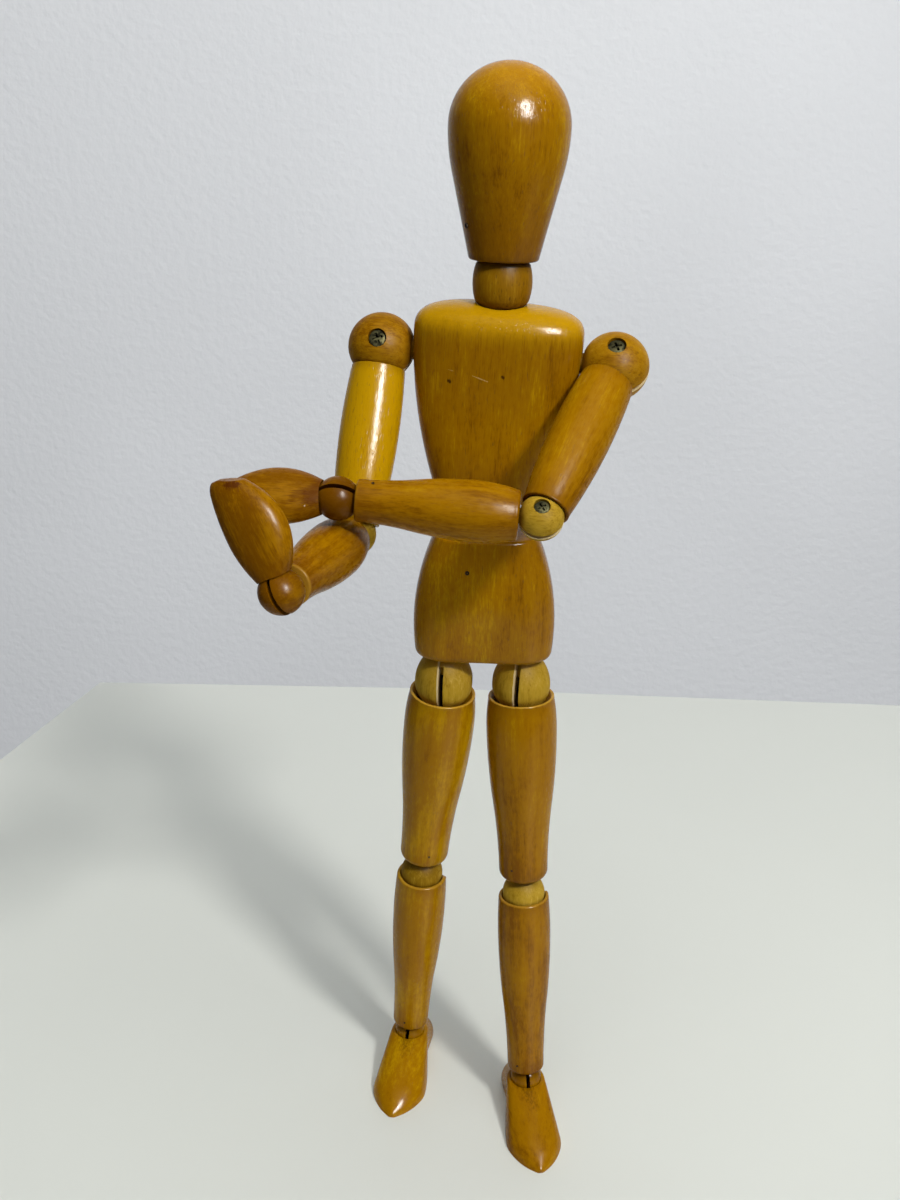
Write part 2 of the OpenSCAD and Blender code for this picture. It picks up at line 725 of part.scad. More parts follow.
module neck() {
    swing = large_eye_r + eye_margin;
    slot_half = swing + slot_run_out;
    color(bare_wood) multmatrix(neck_frame) difference() {
        union() {
            rotate_extrude() intersection() {
                translate([neck_r - neck_bulge_r, 0]) circle(neck_bulge_r, $fn = arc_fn);
                circle(neck_foot_r, $fn = arc_fn);
                translate([0, -neck_foot_r]) square([neck_r, neck_foot_r + neck_rise]);
            }
            difference() {
                cylinder(r = neck_peg_r, h = neck_rise + neck_peg_l);
                peg_groove(head_brad_z, neck_peg_r);
            }
        }
        translate([-slot_w / 2, -slot_half, -neck_foot_r - past_end]) {
            cube([slot_w, 2 * slot_half, neck_foot_r + past_end + swing]);
        }
        rivet_hole(neck_r);
    }
}

neck_tongue_reach = neck_foot_r + tongue_bite;

module neck_hinge() {
    multmatrix(neck_tongue_frame) {
        riveted_tongue(large_eye_r, bend_at(neck_foot_r) + tongue_lap / 2, neck_r);
    }
    multmatrix(chest_frame) translate([0, 0, torso_h]) {
        bent_tail(large_eye_r, neck_foot_r, neck_tongue_reach, -neck_lean);
    }
}

// Chest, waist and pelvis
chest_slices = 20;
chest_power = 2.6;
chest_crown_power = 3.1;
chest_brow_power = 2.6;
chest_crown_half_w = 4;
chest_crown_half_d = 3;
function chest_taper(z) = (chest_wide_at - z) / (chest_wide_at - chest_foot);
function chest_half_w_at(z) = z < chest_wide_at
    ? chest_half_w - (chest_half_w - chest_foot_half_w) * ease(chest_taper(z))
    : chest_half_w * rounded_share((z - chest_wide_at) / chest_crown_h, chest_crown_power);
function chest_half_d_at(z) = z < chest_wide_at
    ? chest_half_d - (chest_half_d - chest_foot_half_d) * ease(chest_taper(z))
    : chest_half_d * rounded_share((z - chest_wide_at) / chest_crown_h, chest_brow_power);
chest_brad_z = shoulder_flat + shoulder_peg_l / 2;
chest_brad_skin =
    slice_depth(shoulder_reach - chest_brad_z, chest_half_w, chest_half_d, chest_power) - round_brad_sink;

module chest() {
    color(lacquered) multmatrix(chest_frame) difference() {
        hull() for (i = [0:chest_slices]) {
            z = chest_foot + (chest_crown - chest_foot) * sin(90 * i / chest_slices);
            slice(
                z,
                max(chest_crown_half_w, chest_half_w_at(z)),
                max(chest_crown_half_d, chest_half_d_at(z)),
                chest_power
            );
        }
        sphere(waist_cup_r);
        rotate([180, 0, 0]) bent_pocket(large_eye_r, waist_ball_r, waist_tongue_reach, -waist_lean);
        translate([0, 0, torso_h]) {
            sphere(neck_cup_r);
            bent_pocket(large_eye_r, neck_foot_r, neck_tongue_reach, -neck_lean);
        }
        for (side = [right, left]) at_shoulder_peg(side) {
            peg_bore(shoulder_flat, shoulder_peg_r, shoulder_peg_l);
            brad_hole(chest_brad_skin, chest_brad_z, shoulder_peg_r);
        }
    }
}

// Frame of a shoulder peg in the chest: +Z points inward and -Y to the back
module at_shoulder_peg(side) {
    translate([side * shoulder_reach, 0, torso_h - shoulder_drop]) {
        rotate([0, -90 * side, 0]) rotate([0, 0, 180]) children();
    }
}

module chest_brads() {
    color(steel) multmatrix(chest_frame) for (side = [right, left]) {
        at_shoulder_peg(side) brad(chest_brad_skin, chest_brad_z, shoulder_peg_r);
    }
}

waist_tongue_reach = waist_ball_r + tongue_bite;

module waist_ball() {
    color(bare_wood) multmatrix(waist_frame) rotate([180, 0, 0]) difference() {
        slotted_ball(waist_ball_r, waist_flat, waist_peg_r, waist_peg_l, large_eye_r);
        rivet_hole(waist_ball_r);
    }
}

module waist_hinge() {
    multmatrix(waist_tongue_frame) rotate([180, 0, 0]) {
        riveted_tongue(large_eye_r, bend_at(waist_ball_r) + tongue_lap / 2, waist_ball_r);
    }
    multmatrix(chest_frame) rotate([180, 0, 0]) {
        bent_tail(large_eye_r, waist_ball_r, waist_tongue_reach, -waist_lean);
    }
}

pelvis_slices = 18;
pelvis_power = 2.8;
function pelvis_taper(z) = z > pelvis_wide_at
    ? ease((z - pelvis_wide_at) / (pelvis_crown - pelvis_wide_at))
    : ease((pelvis_wide_at - z) / pelvis_wide_rise);
function pelvis_end(z, top, base) = z > pelvis_wide_at ? top : base;
function pelvis_half_w_at(z) = pelvis_half_w
    - (pelvis_half_w - pelvis_end(z, pelvis_top_half_w, pelvis_base_half_w)) * pelvis_taper(z);
function pelvis_half_d_at(z) = pelvis_half_d
    - (pelvis_half_d - pelvis_end(z, pelvis_top_half_d, pelvis_base_half_d)) * pelvis_taper(z);
function pelvis_skin(x, z) =
    slice_depth(x, pelvis_half_w_at(z), pelvis_half_d_at(z), pelvis_power) - round_brad_sink;
waist_brad_z = waist_flat + waist_peg_l / 2;
waist_brad_skin = pelvis_skin(brad_side(waist_peg_r), waist_rise - waist_brad_z);
hip_brad_z = hip_flat + hip_peg_l / 2;
hip_brad_skin = pelvis_skin(hip_reach - brad_side(hip_peg_r), hip_brad_z);

module pelvis() {
    color(lacquered) multmatrix(pelvis_frame) difference() {
        hull() for (i = [0:pelvis_slices]) {
            z = pelvis_base + (pelvis_crown - pelvis_base) * i / pelvis_slices;
            slice(z, pelvis_half_w_at(z), pelvis_half_d_at(z), pelvis_power);
        }
        at_waist_peg() {
            peg_bore(waist_flat, waist_peg_r, waist_peg_l);
            brad_hole(waist_brad_skin, waist_brad_z, waist_peg_r);
        }
        for (side = [right, left]) at_hip_peg(side) {
            peg_bore(hip_flat, hip_peg_r, hip_peg_l);
            brad_hole(hip_brad_skin, hip_brad_z, hip_peg_r, side);
        }
    }
}

// Frame of the waist peg in the pelvis: +Z points down, -Y to the front
module at_waist_peg() {
    translate([0, 0, waist_rise]) rotate([0, 180, 0]) children();
}

// Frame of a hip peg in the pelvis: +Z points up, -Y to the back
module at_hip_peg(side) {
    translate([side * hip_reach, 0, 0]) rotate([0, 0, 180]) children();
}

module pelvis_brads() {
    color(steel) multmatrix(pelvis_frame) {
        at_waist_peg() brad(waist_brad_skin, waist_brad_z, waist_peg_r);
        for (side = [right, left]) at_hip_peg(side) {
            brad(hip_brad_skin, hip_brad_z, hip_peg_r, side);
        }
    }
}

// Arms
arm_tongue_reach = shoulder_ball_r + tongue_lap;
shank_l = 10;
collar_t = 1;
collar_margin = 0.2;
elbow_tongue_reach = elbow_ball_r + tongue_bite;
wrist_tongue_reach = wrist_ball_r + tongue_bite;
arm_brad_skin = forearm_top_r - round_brad_sink;
elbow_brad_z = elbow_flat + arm_peg_l / 2;
wrist_brad_z = wrist_flat + arm_peg_l / 2;

module shoulder_ball(side) {
    color(bare_wood) multmatrix(shoulder_frame(side)) at_inward_peg(side) difference() {
        slotted_ball(shoulder_ball_r, shoulder_flat, shoulder_peg_r, shoulder_peg_l, large_eye_r);
        screw_hole(shoulder_ball_r, large_screw_r, large_head_r);
    }
}

// Frame of a shoulder ball: +Z points inward along the peg and +X to the front along the screw
module at_inward_peg(side) {
    rotate([0, -90 * side, 0]) rotate([0, 0, -90]) children();
}

module shoulder_screw(side) {
    multmatrix(shoulder_frame(side)) at_inward_peg(side) {
        cross_screw(shoulder_ball_r, large_screw_r, large_head_r);
    }
}

module shoulder_tongue(side) {
    color(steel) multmatrix(arm_tongue_frame(side)) {
        rotate([0, 0, -90]) screwed_tongue(large_eye_r, arm_tongue_reach, large_screw_r);
        translate([0, 0, -arm_tongue_reach - shank_l]) cylinder(r = shank_r, h = shank_l);
        translate([0, 0, -arm_tongue_reach]) cylinder(r = collar_r(), h = collar_t);
    }
}

function collar_r() = tongue_half(large_eye_r) + collar_margin;

module upper_arm(side) {
    color(lacquered) multmatrix(upper_arm_frame(side)) difference() {
        turned_limb(
            -shoulder_rim, upper_arm_top_r, upper_arm_belly_r, elbow_rim - upper_arm_l, upper_arm_low_r,
            upper_arm_belly_at, upper_arm_hollow_at
        );
        sphere(shoulder_cup_r);
        translate([0, 0, -arm_tongue_reach - face_gap]) {
            cylinder(r = collar_r() + running_gap, h = arm_tongue_reach);
            translate([0, 0, -shank_l]) cylinder(r = shank_r + running_gap, h = shank_l + past_end);
        }
        translate([0, 0, -upper_arm_l]) {
            sphere(elbow_cup_r);
            rotate([180, 0, 0]) tongue_pocket(middle_eye_r, elbow_tongue_reach);
        }
    }
}

module elbow_tongue(side) {
    multmatrix(upper_arm_frame(side)) translate([0, 0, -upper_arm_l]) rotate([180, 0, 0]) {
        screwed_tongue(middle_eye_r, elbow_tongue_reach, small_screw_r);
    }
}

// Frame of an elbow ball: +Z points down its peg into the forearm, +X along the screw to the outside
module at_forearm_peg(side) {
    rotate([180, 0, side == right ? 180 : 0]) children();
}

module elbow_ball(side) {
    color(bare_wood) multmatrix(elbow_frame(side)) at_forearm_peg(side) difference() {
        slotted_ball(elbow_ball_r, elbow_flat, arm_peg_r, arm_peg_l, middle_eye_r);
        screw_hole(elbow_ball_r, small_screw_r, small_head_r);
    }
}

module elbow_screw(side) {
    multmatrix(elbow_frame(side)) at_forearm_peg(side) {
        cross_screw(elbow_ball_r, small_screw_r, small_head_r);
    }
}

// The brads enter the right forearm from behind and the left one from the front
module at_forearm_brads(side) {
    rotate([0, 0, side == right ? 180 : 0]) children();
}

module forearm(side) {
    color(lacquered) multmatrix(forearm_frame(side)) difference() {
        turned_limb(
            -elbow_flat - face_gap, forearm_top_r, forearm_belly_r,
            wrist_flat + face_gap - forearm_l, forearm_low_r, forearm_belly_at, forearm_hollow_at
        );
        rotate([180, 0, 0]) {
            peg_bore(elbow_flat, arm_peg_r, arm_peg_l);
            at_forearm_brads(side) brad_hole(arm_brad_skin, elbow_brad_z, arm_peg_r, -side);
        }
        translate([0, 0, -forearm_l]) {
            peg_bore(wrist_flat, arm_peg_r, arm_peg_l);
            at_forearm_brads(side) brad_hole(arm_brad_skin, wrist_brad_z, arm_peg_r, -side);
        }
    }
}

module forearm_brads(side) {
    color(steel) multmatrix(forearm_frame(side)) {
        rotate([180, 0, 0]) at_forearm_brads(side) {
            brad(arm_brad_skin, elbow_brad_z, arm_peg_r, -side);
        }
        translate([0, 0, -forearm_l]) at_forearm_brads(side) {
            brad(arm_brad_skin, wrist_brad_z, arm_peg_r, -side);
        }
    }
}

module wrist_ball(side) {
    color(lacquered) multmatrix(forearm_frame(side)) translate([0, 0, -forearm_l]) difference() {
        slotted_ball(wrist_ball_r, wrist_flat, arm_peg_r, arm_peg_l, small_eye_r);
        rivet_hole(wrist_ball_r);
    }
}

module wrist_hinge(side) {
    multmatrix(hand_frame(side)) riveted_tongue(small_eye_r, wrist_tongue_reach, wrist_ball_r);
}

hand_slices = 16;
hand_power = 2.2;
hand_palm_at = 0.45;
hand_heel_share = 0.6;
hand_heel_thick_share = 0.9;
hand_tip_thick_share = 0.45;
function before_palm(t) = ease((hand_palm_at - t) / hand_palm_at);
function past_palm(t) = ease((t - hand_palm_at) / (1 - hand_palm_at));
function hand_share(t) = t < hand_palm_at
    ? 1 - (1 - hand_heel_share) * before_palm(t)
    : 1 - (1 - hand_tip_half_w / hand_half_w) * past_palm(t);
function hand_thick_share(t) = t < hand_palm_at
    ? 1 - (1 - hand_heel_thick_share) * before_palm(t)
    : 1 - (1 - hand_tip_thick_share) * past_palm(t);
// Middle of the hand, which is set to one side at the palm and bows outward at the fingertips
function palm_set(side) = of_side(side, right_palm_set, left_palm_set);
function hand_mid(side, t) = t < hand_palm_at
    ? palm_set(side) * (1 - before_palm(t))
    : palm_set(side) + (side * hand_bow - palm_set(side)) * past_palm(t);

module hand(side) {
    color(lacquered) multmatrix(hand_frame(side)) difference() {
        hull() for (i = [0:hand_slices]) {
            t = i / hand_slices;
            translate([hand_mid(side, t), 0, 0]) slice(
                -hand_rim - t * (hand_l - hand_rim),
                hand_half_w * hand_share(t), hand_half_t * hand_thick_share(t), hand_power
            );
        }
        sphere(wrist_cup_r);
        tongue_pocket(small_eye_r, wrist_tongue_reach);
    }
}

// Legs
hip_tongue_reach = hip_ball_r + tongue_bite;
knee_tongue_reach = knee_ball_r + tongue_bite;
ankle_tongue_reach = ankle_h - sole_t;
knee_brad_z = knee_flat + knee_peg_l / 2;
knee_brad_skin = thigh_low_r - round_brad_sink;
ankle_brad_z = ankle_flat + ankle_peg_l / 2;
ankle_brad_skin = shin_low_r - round_brad_sink;

// Frame of a hip ball: the screw's head is on the inner side
module at_inner_screw(side) {
    rotate([0, 0, side == right ? 0 : 180]) children();
}

module hip_ball(side) {
    color(bare_wood) multmatrix(hip_frame(side)) at_inner_screw(side) difference() {
        slotted_ball(hip_ball_r, hip_flat, hip_peg_r, hip_peg_l, large_eye_r, hip_barrel_r);
        screw_hole(hip_ball_r, large_screw_r, large_head_r);
    }
}

module hip_screw(side) {
    multmatrix(hip_frame(side)) at_inner_screw(side) {
        cross_screw(hip_ball_r, large_screw_r, large_head_r);
    }
}

// The tongue's eye follows the ball's slot, and its bent tail follows the thigh
module hip_tongue(side) {
    multmatrix(hip_tongue_frame(side)) {
        screwed_tongue(large_eye_r, bend_at(hip_ball_r) + tongue_lap / 2, large_screw_r);
    }
    multmatrix(thigh_frame(side)) bent_tail(large_eye_r, hip_ball_r, hip_tongue_reach, hip_splay(side));
}

module thigh(side) {
    color(lacquered) multmatrix(thigh_frame(side)) difference() {
        turned_limb(
            -hip_rim, thigh_top_r, thigh_belly_r, knee_flat + face_gap - thigh_l, thigh_low_r,
            thigh_belly_at, thigh_hollow_at
        );
        sphere(hip_cup_r);
        hip_flare();
        bent_pocket(large_eye_r, hip_ball_r, hip_tongue_reach, hip_splay(side));
        translate([0, 0, -thigh_l]) {
            peg_bore(knee_flat, knee_peg_r, knee_peg_l);
            brad_hole(knee_brad_skin, knee_brad_z, knee_peg_r, -side);
        }
    }
}

// Countersink of the hip cup, which lets the thigh swing up past the drawn-out ball
// The cup meets it at flare_at degrees
flare_at = 45;

module hip_flare() {
    meet = hip_cup_r * sin(flare_at);
    flare_h = meet - hip_rim + past_end;
    slope = (thigh_top_r - hip_rim_wall - meet) / (meet - hip_rim);
    translate([0, 0, -meet]) cylinder(r1 = meet, r2 = meet + slope * flare_h, h = flare_h);
}

module thigh_brad(side) {
    color(steel) multmatrix(thigh_frame(side)) translate([0, 0, -thigh_l]) {
        brad(knee_brad_skin, knee_brad_z, knee_peg_r, -side);
    }
}

// The heads of both knee screws are on the figure's right
module at_knee_screw() {
    rotate([0, 0, 180]) children();
}

module knee_ball(side) {
    front_wall = tongue_half(middle_eye_r) + eye_margin;
    color(bare_wood) multmatrix(knee_frame(side)) {
        difference() {
            union() {
                ball_blank(knee_ball_r, knee_flat, 0);
                difference() {
                    cylinder(r = knee_peg_r, h = knee_flat + knee_peg_l);
                    peg_groove(knee_brad_z, knee_peg_r);
                }
            }
            intersection() {
                tongue_slot(knee_ball_r, knee_flat, knee_peg_r, middle_eye_r);
                union() {
                    translate([-slot_w, -front_wall, -2 * knee_ball_r]) {
                        cube([2 * slot_w, 3 * knee_ball_r, 3 * knee_ball_r]);
                    }
                    rotate([0, 90, 0]) translate([0, 0, -slot_w]) {
                        cylinder(r = middle_eye_r + eye_margin, h = 2 * slot_w);
                    }
                }
            }
            at_knee_screw() screw_hole(knee_ball_r, small_screw_r, small_head_r);
        }
    }
}

module knee_screw(side) {
    multmatrix(knee_frame(side)) at_knee_screw() {
        cross_screw(knee_ball_r, small_screw_r, small_head_r);
    }
}

module knee_tongue(side) {
    multmatrix(shin_frame(side)) screwed_tongue(middle_eye_r, knee_tongue_reach, small_screw_r);
}

module shin(side) {
    color(lacquered) multmatrix(shin_frame(side)) difference() {
        turned_limb(
            -knee_rim, shin_top_r, shin_belly_r, ankle_flat + face_gap - shin_l, shin_low_r,
            shin_belly_at, shin_hollow_at
        );
        sphere(knee_cup_r);
        translate([-shin_l / 2, 0, -knee_rim]) rotate([-knee_relief, 0, 0]) {
            cube([shin_l, shin_l, shin_l / 2]);
        }
        tongue_pocket(middle_eye_r, knee_tongue_reach);
        translate([0, 0, -shin_l]) {
            peg_bore(ankle_flat, ankle_peg_r, ankle_peg_l);
            brad_hole(ankle_brad_skin, ankle_brad_z, ankle_peg_r, -side);
        }
    }
}

module shin_brad(side) {
    color(steel) multmatrix(shin_frame(side)) translate([0, 0, -shin_l]) {
        brad(ankle_brad_skin, ankle_brad_z, ankle_peg_r, -side);
    }
}

module ankle_ball(side) {
    color(lacquered) multmatrix(ankle_frame(side)) difference() {
        slotted_ball(ankle_ball_r, ankle_flat, ankle_peg_r, ankle_peg_l, small_eye_r);
        rivet_hole(ankle_ball_r);
    }
}

// The eye and pin follow the ball's slot, and the bent tail follows the foot
module ankle_hinge(side) {
    multmatrix(ankle_tongue_frame(side)) {
        riveted_tongue(small_eye_r, bend_at(ankle_ball_r) + tongue_lap / 2, ankle_ball_r);
    }
    multmatrix(foot_frame(side)) bent_tail(small_eye_r, ankle_ball_r, ankle_tongue_reach, ankle_roll(side));
}

// The toe part is a leaf in plan, and it meets the heel part in a narrow waist under the ankle
foot_collar_r = ankle_cup_r + foot_collar_t;
heel_bed = 2.5;
toe_slices = 16;
toe_wide_at = 0.6;
toe_root_half_w = 5.2;
toe_plan_power = 1.5;
toe_ridge_power = 1.4;
toe_tip_half_w = 0.8;
toe_tip_h = 1.2;
function toe_run(t) = (t - toe_wide_at) / (1 - toe_wide_at);
function toe_half_w(t) = t < toe_wide_at
    ? foot_half_w - (foot_half_w - toe_root_half_w) * ease((toe_wide_at - t) / toe_wide_at)
    : max(toe_tip_half_w, foot_half_w * rounded_share(toe_run(t), toe_plan_power));
function toe_top(t) = t < toe_wide_at
    ? toe_h
    : max(toe_tip_h, toe_h * rounded_share(toe_run(t), toe_ridge_power));

// Upright slice across the toe part: half an oval on the floor
module toe_slice(t) {
    half_fn = hull_fn / 2;
    translate([0, skin_t - t * toe_l, -ankle_h]) rotate([90, 0, 0]) linear_extrude(skin_t) {
        polygon([
            for (i = [0:half_fn]) slice_point(full_turn * i / hull_fn, toe_half_w(t), toe_top(t), 2)
        ]);
    }
}

module foot_collar() {
    translate([0, 0, -foot_rim - edge_r]) cylinder(r = foot_collar_r, h = edge_r, $fn = hull_fn);
    translate([0, 0, -ankle_h]) cylinder(r = foot_collar_r - edge_r, h = ankle_h / 2, $fn = hull_fn);
}

module foot(side) {
    color(lacquered) multmatrix(foot_frame(side)) difference() {
        union() {
            hull() {
                foot_collar();
                for (i = [1:toe_slices]) toe_slice(i / toe_slices);
            }
            hull() {
                foot_collar();
                translate([0, heel_l - heel_half_w, heel_bed - ankle_h]) {
                    scale([heel_half_w, heel_half_w, heel_h - heel_bed]) sphere(1, $fn = hull_fn);
                }
            }
        }
        translate([-2 * foot_half_w, -2 * toe_l, -2 * ankle_h]) {
            cube([4 * foot_half_w, 4 * toe_l, ankle_h]);
        }
        sphere(ankle_cup_r);
        bent_pocket(small_eye_r, ankle_ball_r, ankle_tongue_reach, ankle_roll(side));
    }
}

head();
head_brad();
neck();
neck_hinge();
chest();
chest_brads();
waist_ball();
waist_hinge();
pelvis();
pelvis_brads();
shoulder_ball(right);  // right_shoulder_ball
shoulder_screw(right);  // right_shoulder_screw
shoulder_tongue(right);  // right_shoulder_tongue
upper_arm(right);  // right_upper_arm
elbow_tongue(right);  // right_elbow_tongue
elbow_ball(right);  // right_elbow_ball
elbow_screw(right);  // right_elbow_screw
forearm(right);  // right_forearm
forearm_brads(right);  // right_forearm_brads
wrist_ball(right);  // right_wrist_ball
wrist_hinge(right);  // right_wrist_hinge
hand(right);  // right_hand
shoulder_ball(left);  // left_shoulder_ball
shoulder_screw(left);  // left_shoulder_screw
shoulder_tongue(left);  // left_shoulder_tongue
upper_arm(left);  // left_upper_arm
elbow_tongue(left);  // left_elbow_tongue
elbow_ball(left);  // left_elbow_ball
elbow_screw(left);  // left_elbow_screw
forearm(left);  // left_forearm
forearm_brads(left);  // left_forearm_brads
wrist_ball(left);  // left_wrist_ball
wrist_hinge(left);  // left_wrist_hinge
hand(left);  // left_hand
hip_ball(right);  // right_hip_ball
hip_screw(right);  // right_hip_screw
hip_tongue(right);  // right_hip_tongue
thigh(right);  // right_thigh
thigh_brad(right);  // right_thigh_brad
knee_ball(right);  // right_knee_ball
knee_screw(right);  // right_knee_screw
knee_tongue(right);  // right_knee_tongue
shin(right);  // right_shin
shin_brad(right);  // right_shin_brad
ankle_ball(right);  // right_ankle_ball
ankle_hinge(right);  // right_ankle_hinge
foot(right);  // right_foot
hip_ball(left);  // left_hip_ball
hip_screw(left);  // left_hip_screw
hip_tongue(left);  // left_hip_tongue
thigh(left);  // left_thigh
thigh_brad(left);  // left_thigh_brad
knee_ball(left);  // left_knee_ball
knee_screw(left);  // left_knee_screw
knee_tongue(left);  // left_knee_tongue
shin(left);  // left_shin
shin_brad(left);  // left_shin_brad
ankle_ball(left);  // left_ankle_ball
ankle_hinge(left);  // left_ankle_hinge
foot(left);  // left_foot
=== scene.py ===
"""Wooden drawing figure that stands with its arms crossed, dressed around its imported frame."""
import logging
import math
from dataclasses import dataclass, replace
from enum import Enum
from typing import Iterable, Sequence, Union

import bmesh
import bpy
from mathutils import Matrix, Vector


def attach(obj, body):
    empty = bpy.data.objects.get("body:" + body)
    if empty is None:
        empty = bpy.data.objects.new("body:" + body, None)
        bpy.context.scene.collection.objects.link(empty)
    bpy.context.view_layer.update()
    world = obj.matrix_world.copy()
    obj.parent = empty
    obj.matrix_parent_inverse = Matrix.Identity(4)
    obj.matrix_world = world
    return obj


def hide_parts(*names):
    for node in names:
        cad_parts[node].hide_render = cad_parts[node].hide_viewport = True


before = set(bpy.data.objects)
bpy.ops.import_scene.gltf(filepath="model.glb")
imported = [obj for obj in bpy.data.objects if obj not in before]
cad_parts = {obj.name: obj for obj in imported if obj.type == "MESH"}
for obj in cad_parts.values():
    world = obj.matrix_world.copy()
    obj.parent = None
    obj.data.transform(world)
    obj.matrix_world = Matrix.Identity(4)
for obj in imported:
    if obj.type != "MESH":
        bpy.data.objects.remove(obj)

LOG = logging.getLogger("drawing_figure")
MM = 0.001
WELD = 1e-4
SHARP_DEGREES = 38.0
Point2 = tuple[float, float]
Point3 = tuple[float, float, float]
Colour = tuple[float, float, float, float]


class Side(Enum):
    """Side of the figure, with the sign of its X direction."""

    RIGHT = -1
    LEFT = 1

    @property
    def label(self) -> str:
        """Name of the side as the bodies and nodes spell it."""
        return self.name.lower()


class Slot(Enum):
    """Material slots of the record."""

    LACQUERED = "lacquered_wood"
    BARE = "bare_wood"
    NECK = "neck_wood"
    SCREW = "screw_metal"
    STEEL = "tongue_steel"


# Shader and geometry graphs


class Wire:
    """A socket of a node graph that can be used in arithmetic."""

    def __init__(self, graph: "Graph", socket: bpy.types.NodeSocket) -> None:
        """Keep the graph and one of its output sockets."""
        self.graph = graph
        self.socket = socket

    def __add__(self, other: "Value") -> "Wire":
        """Sum of two values."""
        return self.graph.math("ADD", self, other)

    def __radd__(self, other: "Value") -> "Wire":
        """Sum of two values."""
        return self.graph.math("ADD", other, self)

    def __sub__(self, other: "Value") -> "Wire":
        """Difference of two values."""
        return self.graph.math("SUBTRACT", self, other)

    def __rsub__(self, other: "Value") -> "Wire":
        """Difference of two values."""
        return self.graph.math("SUBTRACT", other, self)

    def __mul__(self, other: "Value") -> "Wire":
        """Product of two values."""
        return self.graph.math("MULTIPLY", self, other)

    def __rmul__(self, other: "Value") -> "Wire":
        """Product of two values."""
        return self.graph.math("MULTIPLY", other, self)

    def __truediv__(self, other: "Value") -> "Wire":
        """Quotient of two values."""
        return self.graph.math("DIVIDE", self, other)

    def __mod__(self, other: "Value") -> "Wire":
        """Remainder of a division."""
        return self.graph.math("FLOORED_MODULO", self, other)

    def __abs__(self) -> "Wire":
        """Size without the sign."""
        return self.graph.math("ABSOLUTE", self)

    def floor(self) -> "Wire":
        """Next lower whole number."""
        return self.graph.math("FLOOR", self)

    def root(self) -> "Wire":
        """Square root."""
        return self.graph.math("SQRT", self)

    def sine(self) -> "Wire":
        """Sine of an angle in radians."""
        return self.graph.math("SINE", self)

    def cosine(self) -> "Wire":
        """Cosine of an angle in radians."""
        return self.graph.math("COSINE", self)

    def step(self, low: float, high: float) -> "Wire":
        """Smooth step from 0 at low to 1 at high.

        Args:
            low: Value at which the step starts.
            high: Value at which it ends, which may be below low.

        Returns:
            The step as a value from 0 to 1.
        """
        flipped = high < low
        ends = (high, low) if flipped else (low, high)
        rising = self.graph.add(
            "ShaderNodeMapRange",
            {"interpolation_type": "SMOOTHSTEP"},
            {"Value": self, "From Min": ends[0], "From Max": ends[1]},
        )
        return 1 - rising if flipped else rising


Value = Union[Wire, float]
SocketValue = Union[Wire, float, int, bool, tuple, Matrix, bpy.types.ID]


class Graph:
    """Adds nodes to a shader tree or a geometry tree."""

    def __init__(self, tree: bpy.types.NodeTree) -> None:
        """Keep the tree that takes the nodes."""
        self.tree = tree

    def add(
        self,
        kind: str,
        settings: dict[str, object] | None = None,
        sockets: dict[str | int, SocketValue] | None = None,
        out: str | int = 0,
    ) -> Wire:
        """Add one node.

        Args:
            kind: Type name of the node.
            settings: Attributes of the node, set first.
            sockets: Values or wires of its inputs, by name or number.
            out: Output to return.

        Returns:
            The chosen output.
        """
        node = self.tree.nodes.new(kind)
        for key, value in (settings or {}).items():
            setattr(node, key, value)
        for key, value in (sockets or {}).items():
            if isinstance(value, Wire):
                self.tree.links.new(value.socket, node.inputs[key])
            else:
                node.inputs[key].default_value = value
        return Wire(self, node.outputs[out]) if node.outputs else Wire(self, None)

    def math(self, operation: str, first: Value, second: Value = 0.0) -> Wire:
        """Result of one Math node on one value or two."""
        return self.add("ShaderNodeMath", {"operation": operation}, {0: first, 1: second})

    def mix(self, share: Value, first: SocketValue, second: SocketValue) -> Wire:
        """Blend of two colours by the share of the second one, from 0 to 1."""
        settings = {"data_type": "RGBA", "clamp_factor": True}
        return self.add("ShaderNodeMix", settings, {0: share, 6: first, 7: second}, 2)


def new_material(name: str) -> tuple[bpy.types.Material, Graph]:
    """Material with an empty tree.

    Args:
        name: Name of the material.

    Returns:
        The material and the graph that fills it.
    """
    material = bpy.data.materials.new(name)
    material.use_nodes = True
    material.node_tree.nodes.clear()
    return material, Graph(material.node_tree)


# Finishes


def srgb(red: int, green: int, blue: int) -> Colour:
    """Linear colour of an sRGB colour of 0 to 255.

    Args:
        red: Red part.
        green: Green part.
        blue: Blue part.

    Returns:
        The linear colour with alpha 1.
    """
    def linear(part: int) -> float:
        """One channel as a linear value."""
        share = part / 255
        return share / 12.92 if share <= 0.04045 else ((share + 0.055) / 1.055) ** 2.4

    return (linear(red), linear(green), linear(blue), 1.0)


@dataclass(frozen=True)
class WoodTone:
    """Colours and gloss of a wood finish."""

    pale: Colour
    middle: Colour
    dark: Colour
    fleck: Colour
    roughness: float
    specular: float
    bump: float
    fleck_share: float
    grain: float = 0.6


